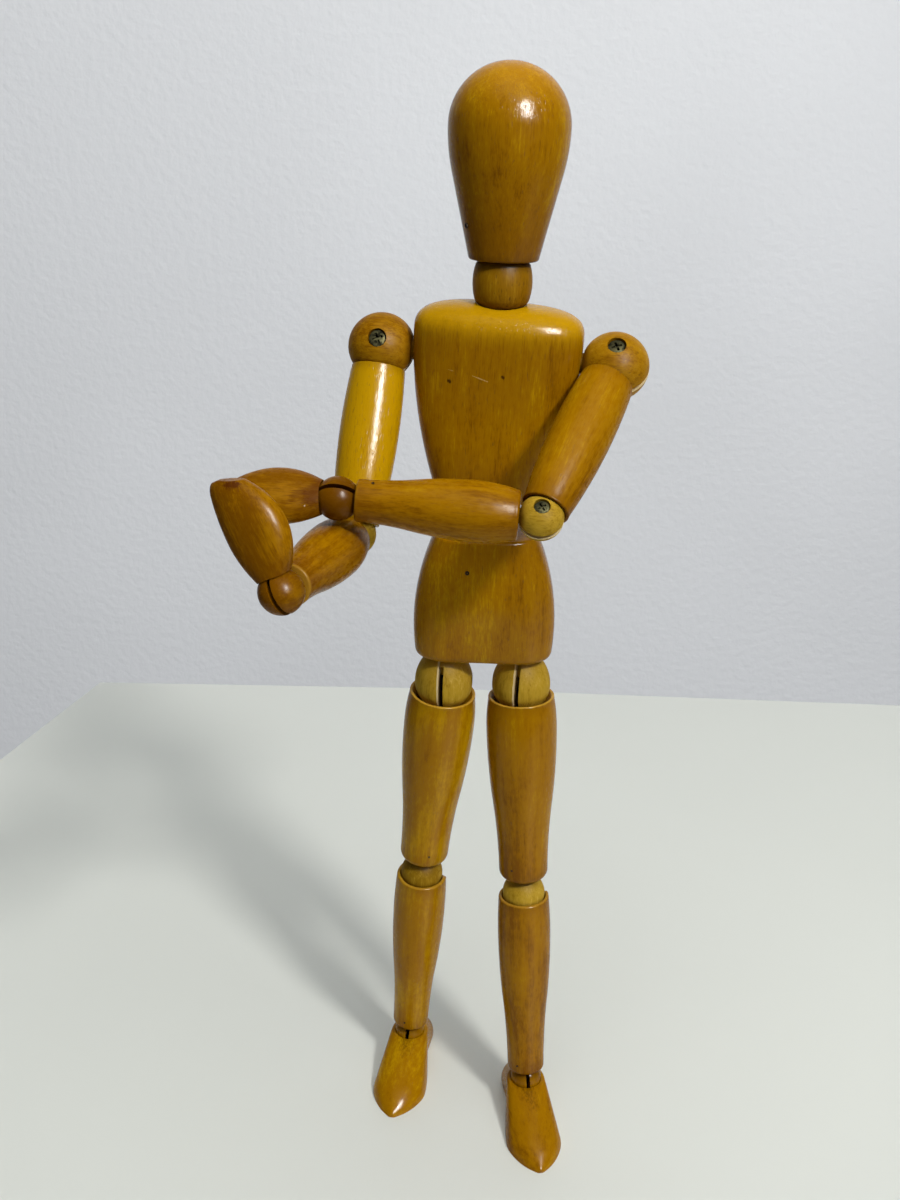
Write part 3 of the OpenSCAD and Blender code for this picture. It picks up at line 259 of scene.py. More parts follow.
HONEY_LACQUER = WoodTone(
    pale=srgb(184, 140, 2), middle=srgb(154, 106, 0), dark=srgb(120, 74, 0), fleck=srgb(78, 42, 0),
    roughness=0.2, specular=0.1, bump=0.35, fleck_share=0.32,
)
WORN_LACQUER = replace(
    HONEY_LACQUER, roughness=0.28, specular=0.05, bump=0.2, fleck_share=0.2, grain=0.45
)
LEG_LACQUER = replace(HONEY_LACQUER, specular=0.085, bump=0.15, fleck_share=0.15, grain=0.3)
BARE_BALL = WoodTone(
    pale=srgb(204, 172, 76), middle=srgb(176, 142, 40), dark=srgb(136, 102, 12), fleck=srgb(108, 76, 12),
    roughness=0.5, specular=0.03, bump=0.4, fleck_share=0.25,
)
TAN_BALL = WoodTone(
    pale=srgb(184, 142, 34), middle=srgb(160, 114, 8), dark=srgb(126, 80, 0), fleck=srgb(84, 50, 0),
    roughness=0.4, specular=0.035, bump=0.4, fleck_share=0.4,
)
NECK_STAIN = WoodTone(
    pale=srgb(164, 122, 16), middle=srgb(142, 100, 4), dark=srgb(110, 70, 0), fleck=srgb(70, 42, 0),
    roughness=0.38, specular=0.04, bump=0.4, fleck_share=0.5,
)


@dataclass(frozen=True)
class Layer:
    """One noise of the wood: cells per millimetre, detail, offset, weights in shade and relief."""

    rate: Point3
    detail: float
    lane: float
    weight: float = 0.0
    relief: float = 0.0


CLOUD = Layer(rate=(0.06, 0.06, 0.022), detail=2.0, lane=11.0, weight=0.8)
DRIFT = Layer(rate=(0.17, 0.17, 0.05), detail=2.0, lane=67.0, weight=0.45)
STREAK = Layer(rate=(0.8, 0.8, 0.03), detail=2.0, lane=51.0, weight=0.45)
MOTTLE = Layer(rate=(0.9, 0.9, 0.5), detail=2.0, lane=71.0, weight=0.3)
FIBRE = Layer(rate=(3.0, 3.0, 0.22), detail=3.0, lane=23.0, relief=0.5)
THREAD = Layer(rate=(7.5, 7.5, 0.6), detail=1.0, lane=37.0, weight=0.25, relief=0.35)
PORE = Layer(rate=(3.2, 3.2, 0.6), detail=0.0, lane=91.0, relief=0.6)
RIPPLE = Layer(rate=(0.8, 0.8, 0.4), detail=1.0, lane=83.0, relief=1.2)

# Shades at which the dark tone gives way to the middle one, the middle to the pale one, and pores begin
DARK_STEP = (0.15, 0.5)
PALE_STEP = (0.5, 0.85)
PORE_STEP = (0.7, 0.79)
GRAIN_DEPTH = 0.00012
LONGEST_FRAY = 2.5
FRAY_SHARE = 0.6
ROUGH_SPREAD = 0.2
PORE_ROUGH = 0.15


@dataclass(frozen=True)
class Stain:
    """A soft spot or streak of another tone on a piece, in the piece's own frame."""

    start: Point3
    end: Point3
    radius: float
    colour: Colour
    strength: float
    ragged: float = 0.4


@dataclass(frozen=True)
class Band:
    """A ring of another tone around a piece, from a full share to none along its axis."""

    full_at: float
    gone_at: float
    colour: Colour
    strength: float


@dataclass(frozen=True)
class Lip:
    """A pale edge along a slot, at one place across the piece."""

    at: float
    half: float
    colour: Colour
    strength: float


@dataclass
class Wood:
    """Wood of one piece: its grain runs along the Z axis of the piece's frame."""

    name: str
    tone: WoodTone
    place: Matrix
    seed: float
    bands: Sequence[Band] = ()
    stains: Sequence[Stain] = ()
    lips: Sequence[Lip] = ()
    lift: float = 0.0

    def material(self) -> bpy.types.Material:
        """Build the material.

        Returns:
            The finished material.
        """
        material, graph = new_material(self.name)
        local = self._local(graph)
        parts = graph.add("ShaderNodeSeparateXYZ", sockets={0: local}).socket.node.outputs
        across, deep, along = (Wire(graph, socket) for socket in parts)
        layers = (CLOUD, DRIFT, STREAK, MOTTLE, THREAD, FIBRE, PORE, RIPPLE)
        cloud, drift, streak, mottle, thread, fibre, pore, ripple = (
            self._noise(graph, local, layer) for layer in layers
        )
        tone = self.tone
        shade = CLOUD.weight * cloud + DRIFT.weight * drift + STREAK.weight * streak
        shade = shade + MOTTLE.weight * mottle + THREAD.weight * thread + tone.grain * fibre
        weights = sum(layer.weight for layer in layers) + tone.grain
        # The lift makes the whole piece paler or darker; for several pieces this is painted light and
        # shade
        shade = shade + (self.lift + 0.5 - weights / 2)
        colour = graph.mix(shade.step(*DARK_STEP), tone.dark, tone.middle)
        colour = graph.mix(shade.step(*PALE_STEP), colour, tone.pale)
        flecks = pore.step(*PORE_STEP)
        colour = graph.mix(flecks * tone.fleck_share, colour, tone.fleck)
        for band in self.bands:
            frayed = min(LONGEST_FRAY, FRAY_SHARE * abs(band.full_at - band.gone_at))
            share = (along + (streak + fibre - 1.0) * frayed).step(band.gone_at, band.full_at)
            colour = graph.mix(share * band.strength, colour, band.colour)
        for stain in self.stains:
            share = self._stain(graph, (across, deep, along), stain, fibre)
            colour = graph.mix(share * stain.strength, colour, stain.colour)
        for lip in self.lips:
            off = abs(across - lip.at) + (mottle - 0.5) * lip.half
            colour = graph.mix(off.step(lip.half, 0.5 * lip.half) * lip.strength, colour, lip.colour)
        rough = tone.roughness + (mottle - 0.5) * ROUGH_SPREAD + flecks * PORE_ROUGH
        height = FIBRE.relief * fibre + THREAD.relief * thread
        height = height - PORE.relief * flecks + RIPPLE.relief * ripple
        normal = graph.add(
            "ShaderNodeBump",
            sockets={"Strength": tone.bump, "Distance": GRAIN_DEPTH, "Height": height},
        )
        shader = graph.add(
            "ShaderNodeBsdfPrincipled",
            sockets={
                "Base Color": colour, "Roughness": rough, "Normal": normal,
                "Specular IOR Level": tone.specular,
            },
        )
        graph.add("ShaderNodeOutputMaterial", sockets={"Surface": shader})
        return material

    def _local(self, graph: Graph) -> Wire:
        """Millimetres in the piece's own frame.

        Args:
            graph: Graph of the material.

        Returns:
            The position in the frame of the piece.
        """
        where = graph.add("ShaderNodeTexCoord", out="Object")
        place = self.place.to_translation() * MM
        return graph.add(
            "ShaderNodeMapping",
            {"vector_type": "TEXTURE"},
            {
                "Vector": where, "Location": tuple(place),
                "Rotation": tuple(self.place.to_euler("XYZ")), "Scale": (MM, MM, MM),
            },
        )

    def _noise(self, graph: Graph, local: Wire, layer: Layer) -> Wire:
        """Noise that is drawn out along the grain.

        Args:
            graph: Graph of the material.
            local: Position in the frame of the piece.
            layer: Sizes of the noise, and the offset that keeps the noises of one piece apart.

        Returns:
            The noise, from 0 to 1.
        """
        lane = layer.lane
        offset = (self.seed * 7.3 + lane, self.seed * 3.1 - lane, self.seed * 5.7 + lane)
        moved = graph.add(
            "ShaderNodeMapping",
            {"vector_type": "POINT"},
            {"Vector": local, "Location": offset, "Scale": layer.rate},
        )
        return graph.add(
            "ShaderNodeTexNoise",
            {"noise_dimensions": "3D"},
            {"Vector": moved, "Scale": 1.0, "Detail": layer.detail, "Roughness": 0.55},
        )

    @staticmethod
    def _stain(graph: Graph, point: tuple[Wire, Wire, Wire], stain: Stain, ragged: Wire) -> Wire:
        """Share of a stain: full on the line between its ends, gone at its radius.

        Args:
            graph: Graph of the material.
            point: Position in the frame of the piece.
            stain: Ends, radius and tone of the stain.
            ragged: Noise that frays its edge.

        Returns:
            The share, from 0 to 1.
        """
        span = [b - a for a, b in zip(stain.start, stain.end)]
        length = max(sum(s * s for s in span), 1e-6)
        offset = [p - a for p, a in zip(point, stain.start)]
        along = (offset[0] * span[0] + offset[1] * span[1] + offset[2] * span[2]) * (1 / length)
        along = graph.add("ShaderNodeClamp", sockets={0: along})
        gap = [o - along * s for o, s in zip(offset, span)]
        far = (gap[0] * gap[0] + gap[1] * gap[1] + gap[2] * gap[2]).root()
        far = far + (ragged - 0.5) * (2 * stain.ragged * stain.radius)
        return far.step(stain.radius, 0.35 * stain.radius)


@dataclass(frozen=True)
class Metal:
    """Plain metal with slight tarnish."""

    name: str
    clean: Colour
    dull: Colour
    roughness: float
    patch: float

    def material(self) -> bpy.types.Material:
        """Build the material.

        Returns:
            The finished material.
        """
        material, graph = new_material(self.name)
        where = graph.add("ShaderNodeTexCoord", out="Object")
        patch = graph.add(
            "ShaderNodeTexNoise", sockets={"Vector": where, "Scale": self.patch, "Detail": 4.0}
        )
        scratch = graph.add(
            "ShaderNodeTexNoise", sockets={"Vector": where, "Scale": 9 * self.patch, "Detail": 2.0}
        )
        tarnish = patch.step(0.4, 0.62)
        colour = graph.mix(tarnish, self.clean, self.dull)
        rough = self.roughness + 0.25 * tarnish + (scratch - 0.5) * 0.1
        bump = graph.add(
            "ShaderNodeBump", sockets={"Strength": 0.15, "Distance": 0.0001, "Height": scratch}
        )
        shader = graph.add(
            "ShaderNodeBsdfPrincipled",
            sockets={"Base Color": colour, "Metallic": 1.0, "Roughness": rough, "Normal": bump},
        )
        graph.add("ShaderNodeOutputMaterial", sockets={"Surface": shader})
        return material


SCREW_METAL = Metal("dulled_screw", srgb(56, 54, 36), srgb(24, 23, 15), 0.6, 900.0)
TONGUE_STEEL = Metal("tongue_steel", srgb(46, 42, 38), srgb(24, 20, 16), 0.6, 500.0)
BRAD_STEEL = Metal("brad_steel", srgb(52, 42, 32), srgb(26, 20, 14), 0.6, 700.0)


# Frames of the figure


def turn(axis: str, degrees: float) -> Matrix:
    """Turn about the X, Y or Z axis by the right-hand rule."""
    return Matrix.Rotation(math.radians(degrees), 4, axis)


def shift(x: float, y: float, z: float) -> Matrix:
    """Shift along the three axes."""
    return Matrix.Translation((x, y, z))


@dataclass(frozen=True)
class ArmStance:
    """Angles of one arm in degrees."""

    swing: float
    lift: float
    twist: float
    elbow: float
    forearm: float
    wrist: float


@dataclass(frozen=True)
class LegStance:
    """Angles of one leg in degrees; a knee bend of None is solved from the floor."""

    hip_turn: float
    hip_bend: float
    splay: float
    knee_turn: float
    knee_bend: float | None
    heading: float


@dataclass
class Skeleton:
    """Lengths and angles that place every piece, in millimetres and degrees."""

    hip_reach: float = 10.6
    waist_rise: float = 50.5
    torso_h: float = 58.5
    shoulder_drop: float = 18.2
    shoulder_reach: float = 29.1
    upper_arm_l: float = 47.7
    forearm_l: float = 47.3
    thigh_l: float = 65.6
    shin_l: float = 64.7
    ankle_h: float = 11.3
    waist_turn: float = -4.9
    waist_bend: float = -2.0
    waist_lean: float = 2.2
    neck_lean: float = -1.6
    neck_nod: float = -3.0
    right_arm: ArmStance = ArmStance(
        swing=-27.3, lift=1.5, twist=-7.8, elbow=-66.0, forearm=-27.5, wrist=-91.5
    )
    left_arm: ArmStance = ArmStance(
        swing=-51.7, lift=15.9, twist=-87.5, elbow=-72.4, forearm=89.1, wrist=4.0
    )
    right_leg: LegStance = LegStance(
        hip_turn=-4.2, hip_bend=1.5, splay=5.4, knee_turn=-30.0, knee_bend=None, heading=-7.4
    )
    left_leg: LegStance = LegStance(
        hip_turn=-9.6, hip_bend=-4.5, splay=-3.4, knee_turn=0.0, knee_bend=0.0, heading=10.4
    )

    def frames(self) -> dict[str, Matrix]:
        """Frame of every piece.

        Returns:
            The frames by name, with lengths in millimetres.
        """
        down = Vector((0, 0, -1))
        left_thigh = self._thigh_turn(self.left_leg)
        left_shin = left_thigh @ turn("Z", self.left_leg.knee_turn) @ turn("X", self.left_leg.knee_bend)
        reach = left_thigh @ down * self.thigh_l + left_shin @ down * self.shin_l
        frames = {"pelvis": shift(-self.hip_reach - reach.x, -reach.y, self.ankle_h - reach.z)}
        frames["waist"] = frames["pelvis"] @ shift(0, 0, self.waist_rise) @ turn("Z", self.waist_turn)
        frames["chest"] = frames["waist"] @ turn("X", self.waist_bend) @ turn("Y", self.waist_lean)
        neck_foot = frames["chest"] @ shift(0, 0, self.torso_h)
        frames["neck"] = neck_foot @ turn("Y", self.neck_lean) @ turn("X", self.neck_nod)
        frames["head"] = frames["neck"]
        for side in Side:
            self._arm(frames, side)
            self._leg(frames, side, reach.z)
        return frames

    @staticmethod
    def _thigh_turn(leg: LegStance) -> Matrix:
        """Direction of a thigh below its hip."""
        return turn("Z", leg.hip_turn) @ turn("X", leg.hip_bend) @ turn("Y", leg.splay)

    def _arm(self, frames: dict[str, Matrix], side: Side) -> None:
        """Add the frames of one arm.

        Args:
            frames: Frames so far.
            side: Side of the arm.
        """
        arm = self.right_arm if side is Side.RIGHT else self.left_arm
        root = shift(side.value * self.shoulder_reach, 0, self.torso_h - self.shoulder_drop)
        shoulder = frames["chest"] @ root @ turn("X", arm.swing)
        upper_arm = shoulder @ turn("Y", arm.lift) @ turn("Z", arm.twist)
        elbow = upper_arm @ shift(0, 0, -self.upper_arm_l) @ turn("X", arm.elbow)
        forearm = elbow @ turn("Z", arm.forearm)
        hand = forearm @ shift(0, 0, -self.forearm_l) @ turn("X", arm.wrist)
        for name, place in (
            ("shoulder", shoulder), ("upper_arm", upper_arm), ("elbow", elbow),
            ("forearm", forearm), ("hand", hand),
        ):
            frames[f"{side.label}_{name}"] = place

    def _leg(self, frames: dict[str, Matrix], side: Side, left_drop: float) -> None:
        """Add the frames of one leg.

        Args:
            frames: Frames so far.
            side: Side of the leg.
            left_drop: Height of the left ankle above its hip, which is negative.
        """
        leg = self.right_leg if side is Side.RIGHT else self.left_leg
        hip = frames["pelvis"] @ shift(side.value * self.hip_reach, 0, 0) @ turn("Z", leg.hip_turn)
        thigh = hip @ turn("X", leg.hip_bend) @ turn("Y", leg.splay)
        knee = thigh @ shift(0, 0, -self.thigh_l) @ turn("Z", leg.knee_turn)
        bend = self._standing_bend(leg, left_drop) if leg.knee_bend is None else leg.knee_bend
        shin = knee @ turn("X", bend)
        sole = shin.to_3x3().inverted() @ turn("Z", leg.heading).to_3x3()
        ankle_turn = math.degrees(math.atan2(-sole[0][1], sole[1][1]))
        ankle_bend = math.degrees(math.asin(sole[2][1]))
        ankle_roll = math.degrees(math.atan2(-sole[2][0], sole[2][2]))
        ankle = shin @ shift(0, 0, -self.shin_l) @ turn("Z", ankle_turn)
        foot = ankle @ turn("X", ankle_bend) @ turn("Y", ankle_roll)
        for name, place in (
            ("hip", hip), ("thigh", thigh), ("knee", knee), ("shin", shin), ("ankle", ankle),
            ("foot", foot),
        ):
            frames[f"{side.label}_{name}"] = place

    def _standing_bend(self, leg: LegStance, left_drop: float) -> float:
        """Knee bend at which the sole meets the floor.

        Args:
            leg: Stance of the leg.
            left_drop: Height of the left ankle above its hip.

        Returns:
            The bend in degrees.
        """
        thigh = self._thigh_turn(leg)
        base = thigh @ turn("Z", leg.knee_turn)
        drop = ((thigh @ Vector((0, 0, -self.thigh_l))).z - left_drop) / self.shin_l
        lean, fall = base[2][1], base[2][2]
        reach = math.acos(min(1.0, drop / math.hypot(lean, fall)))
        return math.degrees(reach - math.atan2(lean, fall))


# Meshes


def mesh_object(name: str, mesh: bpy.types.Mesh) -> bpy.types.Object:
    """Link a mesh to the scene as an object at the origin.

    Args:
        name: Name of the piece.
        mesh: Mesh of the piece.

    Returns:
        The new object.
    """
    piece = bpy.data.objects.new(name, mesh)
    bpy.context.scene.collection.objects.link(piece)
    return piece


def settle(piece: bpy.types.Object) -> None:
    """Turn the result of a piece's modifiers into its plain mesh.

    Args:
        piece: Object with modifiers.
    """
    graph = bpy.context.evaluated_depsgraph_get()
    graph.update()
    mesh = bpy.data.meshes.new_from_object(piece.evaluated_get(graph))
    piece.modifiers.clear()
    old = piece.data
    piece.data = mesh
    mesh.name = piece.name
    if old.users == 0:
        bpy.data.meshes.remove(old)


def paint(piece: bpy.types.Object, material: bpy.types.Material) -> None:
    """Give all faces of a piece one material.

    Args:
        piece: Object that gets it.
        material: Material of the whole piece.
    """
    piece.data.materials.clear()
    piece.data.materials.append(material)
    piece.data.polygons.foreach_set("material_index", [0] * len(piece.data.polygons))


def smooth(piece: bpy.types.Object, sharp_degrees: float = SHARP_DEGREES) -> None:
    """Close doubles, point faces outwards and shade smooth up to an angle.

    Args:
        piece: Object in millimetres.
        sharp_degrees: Angle from which an edge stays sharp.
    """
    cage = bmesh.new()
    cage.from_mesh(piece.data)
    bmesh.ops.remove_doubles(cage, verts=cage.verts, dist=WELD)
    bmesh.ops.recalc_face_normals(cage, faces=cage.faces)
    cage.to_mesh(piece.data)
    cage.free()
    piece.data.polygons.foreach_set("use_smooth", [True] * len(piece.data.polygons))
    piece.data.set_sharp_from_angle(angle=math.radians(sharp_degrees))


def carve(piece: bpy.types.Object, cutters: Iterable[bpy.types.Object]) -> None:
    """Cut solids away from a piece and delete them.

    Args:
        piece: Object that is cut.
        cutters: Closed objects to cut away.
    """
    cutters = list(cutters)
    for cutter in cutters:
        for material in piece.data.materials:
            cutter.data.materials.append(material)
        cut = piece.modifiers.new("cut", "BOOLEAN")
        cut.operation = "DIFFERENCE"
        cut.solver = "EXACT"
        cut.object = cutter
    settle(piece)
    for cutter in cutters:
        mesh = cutter.data
        bpy.data.objects.remove(cutter)
        bpy.data.meshes.remove(mesh)


def loft(name: str, rings: Sequence[Sequence[Point3]]) -> bpy.types.Object:
    """Closed skin over rings with equal counts of points.

    Args:
        name: Name of the piece.
        rings: Rings from one end to the other.

    Returns:
        The new object.
    """
    count = len(rings[0])
    points = [point for ring in rings for point in ring]
    faces = [list(range(count)), list(range(len(points) - count, len(points)))]
    for row in range(len(rings) - 1):
        for i in range(count):
            j = (i + 1) % count
            low, high = row * count, (row + 1) * count
            faces.append([low + i, low + j, high + j, high + i])
    mesh = bpy.data.meshes.new(name)
    mesh.from_pydata(points, [], faces)
    return mesh_object(name, mesh)


def ball(name: str, radius: float, centre: Point3 = (0, 0, 0)) -> bpy.types.Object:
    """Round cutter with many faces.

    Args:
        name: Name of the object.
        radius: Radius in millimetres.
        centre: Centre in millimetres.

    Returns:
        The new object.
    """
    cage = bmesh.new()
    bmesh.ops.create_uvsphere(cage, u_segments=96, v_segments=48, radius=radius)
    bmesh.ops.translate(cage, verts=cage.verts, vec=centre)
    mesh = bpy.data.meshes.new(name)
    cage.to_mesh(mesh)
    cage.free()
    return mesh_object(name, mesh)


def block(name: str, low: Point3, high: Point3) -> bpy.types.Object:
    """Box between its lowest and its highest corner, in millimetres."""
    ring = [(low[0], low[1]), (high[0], low[1]), (high[0], high[1]), (low[0], high[1])]
    return loft(name, [[(x, y, z) for x, y in ring] for z in (low[2], high[2])])


def superellipse(half_x: float, half_y: float, power: float, count: int) -> list[Point2]:
    """Outline with rounded sides.

    Args:
        half_x: Half width.
        half_y: Half depth.
        power: 2 is an ellipse, more is squarer.
        count: Count of points.

    Returns:
        The points around the outline.
    """
    points = []
    for i in range(count):
        angle = 2 * math.pi * i / count
        c, s = math.cos(angle), math.sin(angle)
        x = half_x * math.copysign(abs(c) ** (2 / power), c)
        y = half_y * math.copysign(abs(s) ** (2 / power), s)
        points.append((x, y))
    return points


class Lathe:
    """Geometry Nodes tree that turns a profile about the Z axis."""

    def __init__(self) -> None:
        """Build the tree once for all turned pieces."""
        tree = bpy.data.node_groups.new("turned_on_a_lathe", "GeometryNodeTree")
        face = tree.interface
        face.new_socket(name="Profile", in_out="INPUT", socket_type="NodeSocketGeometry")
        self.segments = face.new_socket(name="Segments", in_out="INPUT", socket_type="NodeSocketInt")
        self.finish = face.new_socket(name="Finish", in_out="INPUT", socket_type="NodeSocketMaterial")
        face.new_socket(name="Piece", in_out="OUTPUT", socket_type="NodeSocketGeometry")
        graph = Graph(tree)
        given = graph.add("NodeGroupInput").socket.node.outputs
        profile, segments, finish = (Wire(graph, given[i]) for i in range(3))
        count = graph.add(
            "GeometryNodeAttributeDomainSize", {"component": "MESH"}, {"Geometry": profile}
        )
        grid = graph.add(
            "GeometryNodeMeshGrid", sockets={"Vertices X": segments + 1, "Vertices Y": count}
        )
        index = graph.add("GeometryNodeInputIndex")
        row = index % count
        column = (index / count).floor()
        angle = column / segments * (2 * math.pi)
        point = graph.add(
            "GeometryNodeSampleIndex",
            {"data_type": "FLOAT_VECTOR"},
            {"Geometry": profile, "Value": graph.add("GeometryNodeInputPosition"), "Index": row},
        )
        parts = graph.add("ShaderNodeSeparateXYZ", sockets={0: point}).socket.node.outputs
        radius, height = Wire(graph, parts[0]), Wire(graph, parts[2])
        placed = graph.add(
            "ShaderNodeCombineXYZ",
            sockets={0: radius * angle.cosine(), 1: radius * angle.sine(), 2: height},
        )
        turned = graph.add("GeometryNodeSetPosition", sockets={"Geometry": grid, "Position": placed})
        closed = graph.add("GeometryNodeMergeByDistance", sockets={"Geometry": turned, "Distance": WELD})
        real = graph.add("GeometryNodeRealizeInstances", sockets={"Geometry": closed})
        dressed = graph.add("GeometryNodeSetMaterial", sockets={"Geometry": real, "Material": finish})
        graph.add("NodeGroupOutput", sockets={0: dressed})
        self.tree = tree

    def turn(
        self, name: str, profile: Sequence[Point2], finish: bpy.types.Material, segments: int = 128
    ) -> bpy.types.Object:
        """Turn one piece.

        Args:
            name: Name of the piece.
            profile: Radius and height of the profile's points, from one end on the axis to the other.
            finish: Material of the piece.
            segments: Count of faces around the piece.

        Returns:
            The new object, in millimetres in its own frame.
        """
        mesh = bpy.data.meshes.new(name)
        edges = [(i, i + 1) for i in range(len(profile) - 1)]
        mesh.from_pydata([(r, 0.0, z) for r, z in profile], edges, [])
        piece = mesh_object(name, mesh)
        modifier = piece.modifiers.new("lathe", "NODES")
        modifier.node_group = self.tree
        modifier[self.segments.identifier] = segments
        modifier[self.finish.identifier] = finish
        settle(piece)
        paint(piece, finish)
        return piece


class ScrewSetter:
    """Geometry Nodes tree that sets cross-head screws or brads on points that face a direction."""

    def __init__(self) -> None:
        """Build the tree once for all screws and brads."""
        tree = bpy.data.node_groups.new("cross_head_screws", "GeometryNodeTree")
        face = tree.interface
        face.new_socket(name="Places", in_out="INPUT", socket_type="NodeSocketGeometry")
        self.inputs: dict[str, str] = {}
        for name in ("Radius", "Height", "Dome", "Recess Length", "Recess Width", "Recess Depth"):
            socket = face.new_socket(name=name, in_out="INPUT", socket_type="NodeSocketFloat")
            self.inputs[name] = socket.identifier
        finish_socket = face.new_socket(name="Finish", in_out="INPUT", socket_type="NodeSocketMaterial")
        self.inputs["Finish"] = finish_socket.identifier
        face.new_socket(name="Screws", in_out="OUTPUT", socket_type="NodeSocketGeometry")
        graph = Graph(tree)
        given = graph.add("NodeGroupInput").socket.node.outputs
        places, radius, height, dome, length, width, depth, finish = (
            Wire(graph, socket) for socket in given[:8]
        )
        blank = graph.add(
            "GeometryNodeMeshCylinder",
            {"fill_type": "TRIANGLE_FAN"},
            {"Vertices": 48, "Side Segments": 1, "Fill Segments": 6, "Radius": radius, "Depth": height},
        )
        position = graph.add("GeometryNodeInputPosition")
        parts = graph.add("ShaderNodeSeparateXYZ", sockets={0: position}).socket.node.outputs
        x, y, z = (Wire(graph, socket) for socket in parts)
        share = (x * x + y * y) / (radius * radius)
        fall = share * dome * z.step(0.0, 0.01)
        sunk = graph.add("ShaderNodeCombineXYZ", sockets={2: fall * -1.0})
        domed = graph.add("GeometryNodeSetPosition", sockets={"Geometry": blank, "Offset": sunk})
        first_arm = self._arm(graph, length, width, depth, height)
        arms = graph.add("GeometryNodeJoinGeometry", sockets={0: first_arm})
        cross_arm = self._arm(graph, width, length, depth, height)
        graph.tree.links.new(cross_arm.socket, arms.socket.node.inputs[0])
        cut = graph.add(
            "GeometryNodeMeshBoolean", {"operation": "DIFFERENCE", "solver": "EXACT"},
            {0: domed, 1: arms, "Self Intersection": True},
        )
        facing = graph.add(
            "GeometryNodeInputNamedAttribute", {"data_type": "FLOAT_VECTOR"}, {"Name": "facing"}
        )
        aligned = graph.add("FunctionNodeAlignRotationToVector", {"axis": "Z"}, {"Vector": facing})
        spin = graph.add("GeometryNodeInputNamedAttribute", {"data_type": "FLOAT"}, {"Name": "spin"})
        local_spin = graph.add(
            "FunctionNodeRotateRotation", {"rotation_space": "LOCAL"},
            {"Rotation": aligned, "Rotate By": graph.add("ShaderNodeCombineXYZ", sockets={2: spin})},
        )
        placed = graph.add(
            "GeometryNodeInstanceOnPoints",
            sockets={"Points": places, "Instance": cut, "Rotation": local_spin},
        )
        real = graph.add("GeometryNodeRealizeInstances", sockets={"Geometry": placed})
        dressed = graph.add("GeometryNodeSetMaterial", sockets={"Geometry": real, "Material": finish})
        graph.add("NodeGroupOutput", sockets={0: dressed})
        self.tree = tree

    @staticmethod
    def _arm(graph: Graph, length: Wire, width: Wire, depth: Wire, height: Wire) -> Wire:
        """One arm of the cross recess.

        Args:
            graph: Graph of the tree.
            length: Size along X.
            width: Size along Y.
            depth: Depth below the head's top.
            height: Height of the head.

        Returns:
            The arm as a solid.
        """
        size = graph.add("ShaderNodeCombineXYZ", sockets={0: length, 1: width, 2: depth * 2.0})
        cube = graph.add("GeometryNodeMeshCube", sockets={"Size": size})
        lift = graph.add("ShaderNodeCombineXYZ", sockets={2: height * 0.5})
        return graph.add("GeometryNodeTransform", sockets={"Geometry": cube, "Translation": lift})

    def set(
        self,
        name: str,
        places: Sequence[tuple[Vector, Vector, float]],
        sizes: dict[str, float],
        finish: bpy.types.Material,
    ) -> bpy.types.Object:
        """Set the screws of one body.

        Args:
            name: Name of the piece.
            places: Middle, outward direction and spin in radians of each head.
            sizes: Values of the tree's size inputs in millimetres.
            finish: Material of the heads.

        Returns:
            The new object, in millimetres in the figure's frame.
        """
        mesh = bpy.data.meshes.new(name)
        mesh.from_pydata([tuple(place) for place, _, _ in places], [], [])
        facing = mesh.attributes.new("facing", "FLOAT_VECTOR", "POINT")
        facing.data.foreach_set("vector", [part for _, way, _ in places for part in way])
        spin = mesh.attributes.new("spin", "FLOAT", "POINT")
        spin.data.foreach_set("value", [angle for _, _, angle in places])
        piece = mesh_object(name, mesh)
        modifier = piece.modifiers.new("screws", "NODES")
        modifier.node_group = self.tree
        for key, value in sizes.items():
            modifier[self.inputs[key]] = value
        modifier[self.inputs["Finish"]] = finish
        settle(piece)
        paint(piece, finish)
        return piece


# Profiles of turned pieces


def arc_points(centre: Point2, radius: float, start: float, stop: float, count: int) -> list[Point2]:
    """Points on a circular arc.

    Args:
        centre: Radius and height of the centre.
        radius: Radius of the arc.
        start: First angle in degrees, 0 outwards and 90 up.
        stop: Last angle in degrees.
        count: Count of points.

    Returns:
        The points from start to stop.
    """
    points = []
    for i in range(count):
        angle = math.radians(start + (stop - start) * i / (count - 1))
        points.append((centre[0] + radius * math.cos(angle), centre[1] + radius * math.sin(angle)))
    return points


def arc_radius(rise: float, run: float) -> float:
    """Radius of the arc that runs in by run over a rise and ends upright."""
    return (rise * rise + run * run) / (2 * run)


@dataclass(frozen=True)
class LimbShape:
    """Outline of a turned limb: a rim, a belly and a hollowed taper, in millimetres."""

    top_z: float
    top_r: float
    belly_r: float
    low_z: float
    low_r: float
    belly_at: float
    hollow_at: float
    end_inset: float = 0.7

    def radius(self, z: float) -> float:
        """Radius of the outline between its edges.

        Args:
            z: Height in the limb's frame.

        Returns:
            The radius there.
        """
        high, low = self.top_z - self.end_inset, self.low_z + self.end_inset
        belly_z = high - self.belly_at * (high - low)
        hollow_z = belly_z - self.hollow_at * (belly_z - low)
        hollow_r = self.belly_r - self.hollow_at * (self.belly_r - self.low_r)
        z = min(high, max(low, z))
        if z >= hollow_z:
            end_z, end_r = (high, self.top_r) if z >= belly_z else (hollow_z, hollow_r)
            rho = arc_radius(abs(end_z - belly_z), self.belly_r - end_r)
            return self.belly_r - rho + math.sqrt(rho * rho - (z - belly_z) ** 2)
        rho = arc_radius(hollow_z - low, hollow_r - self.low_r)
        return self.low_r + rho - math.sqrt(rho * rho - (z - low) ** 2)


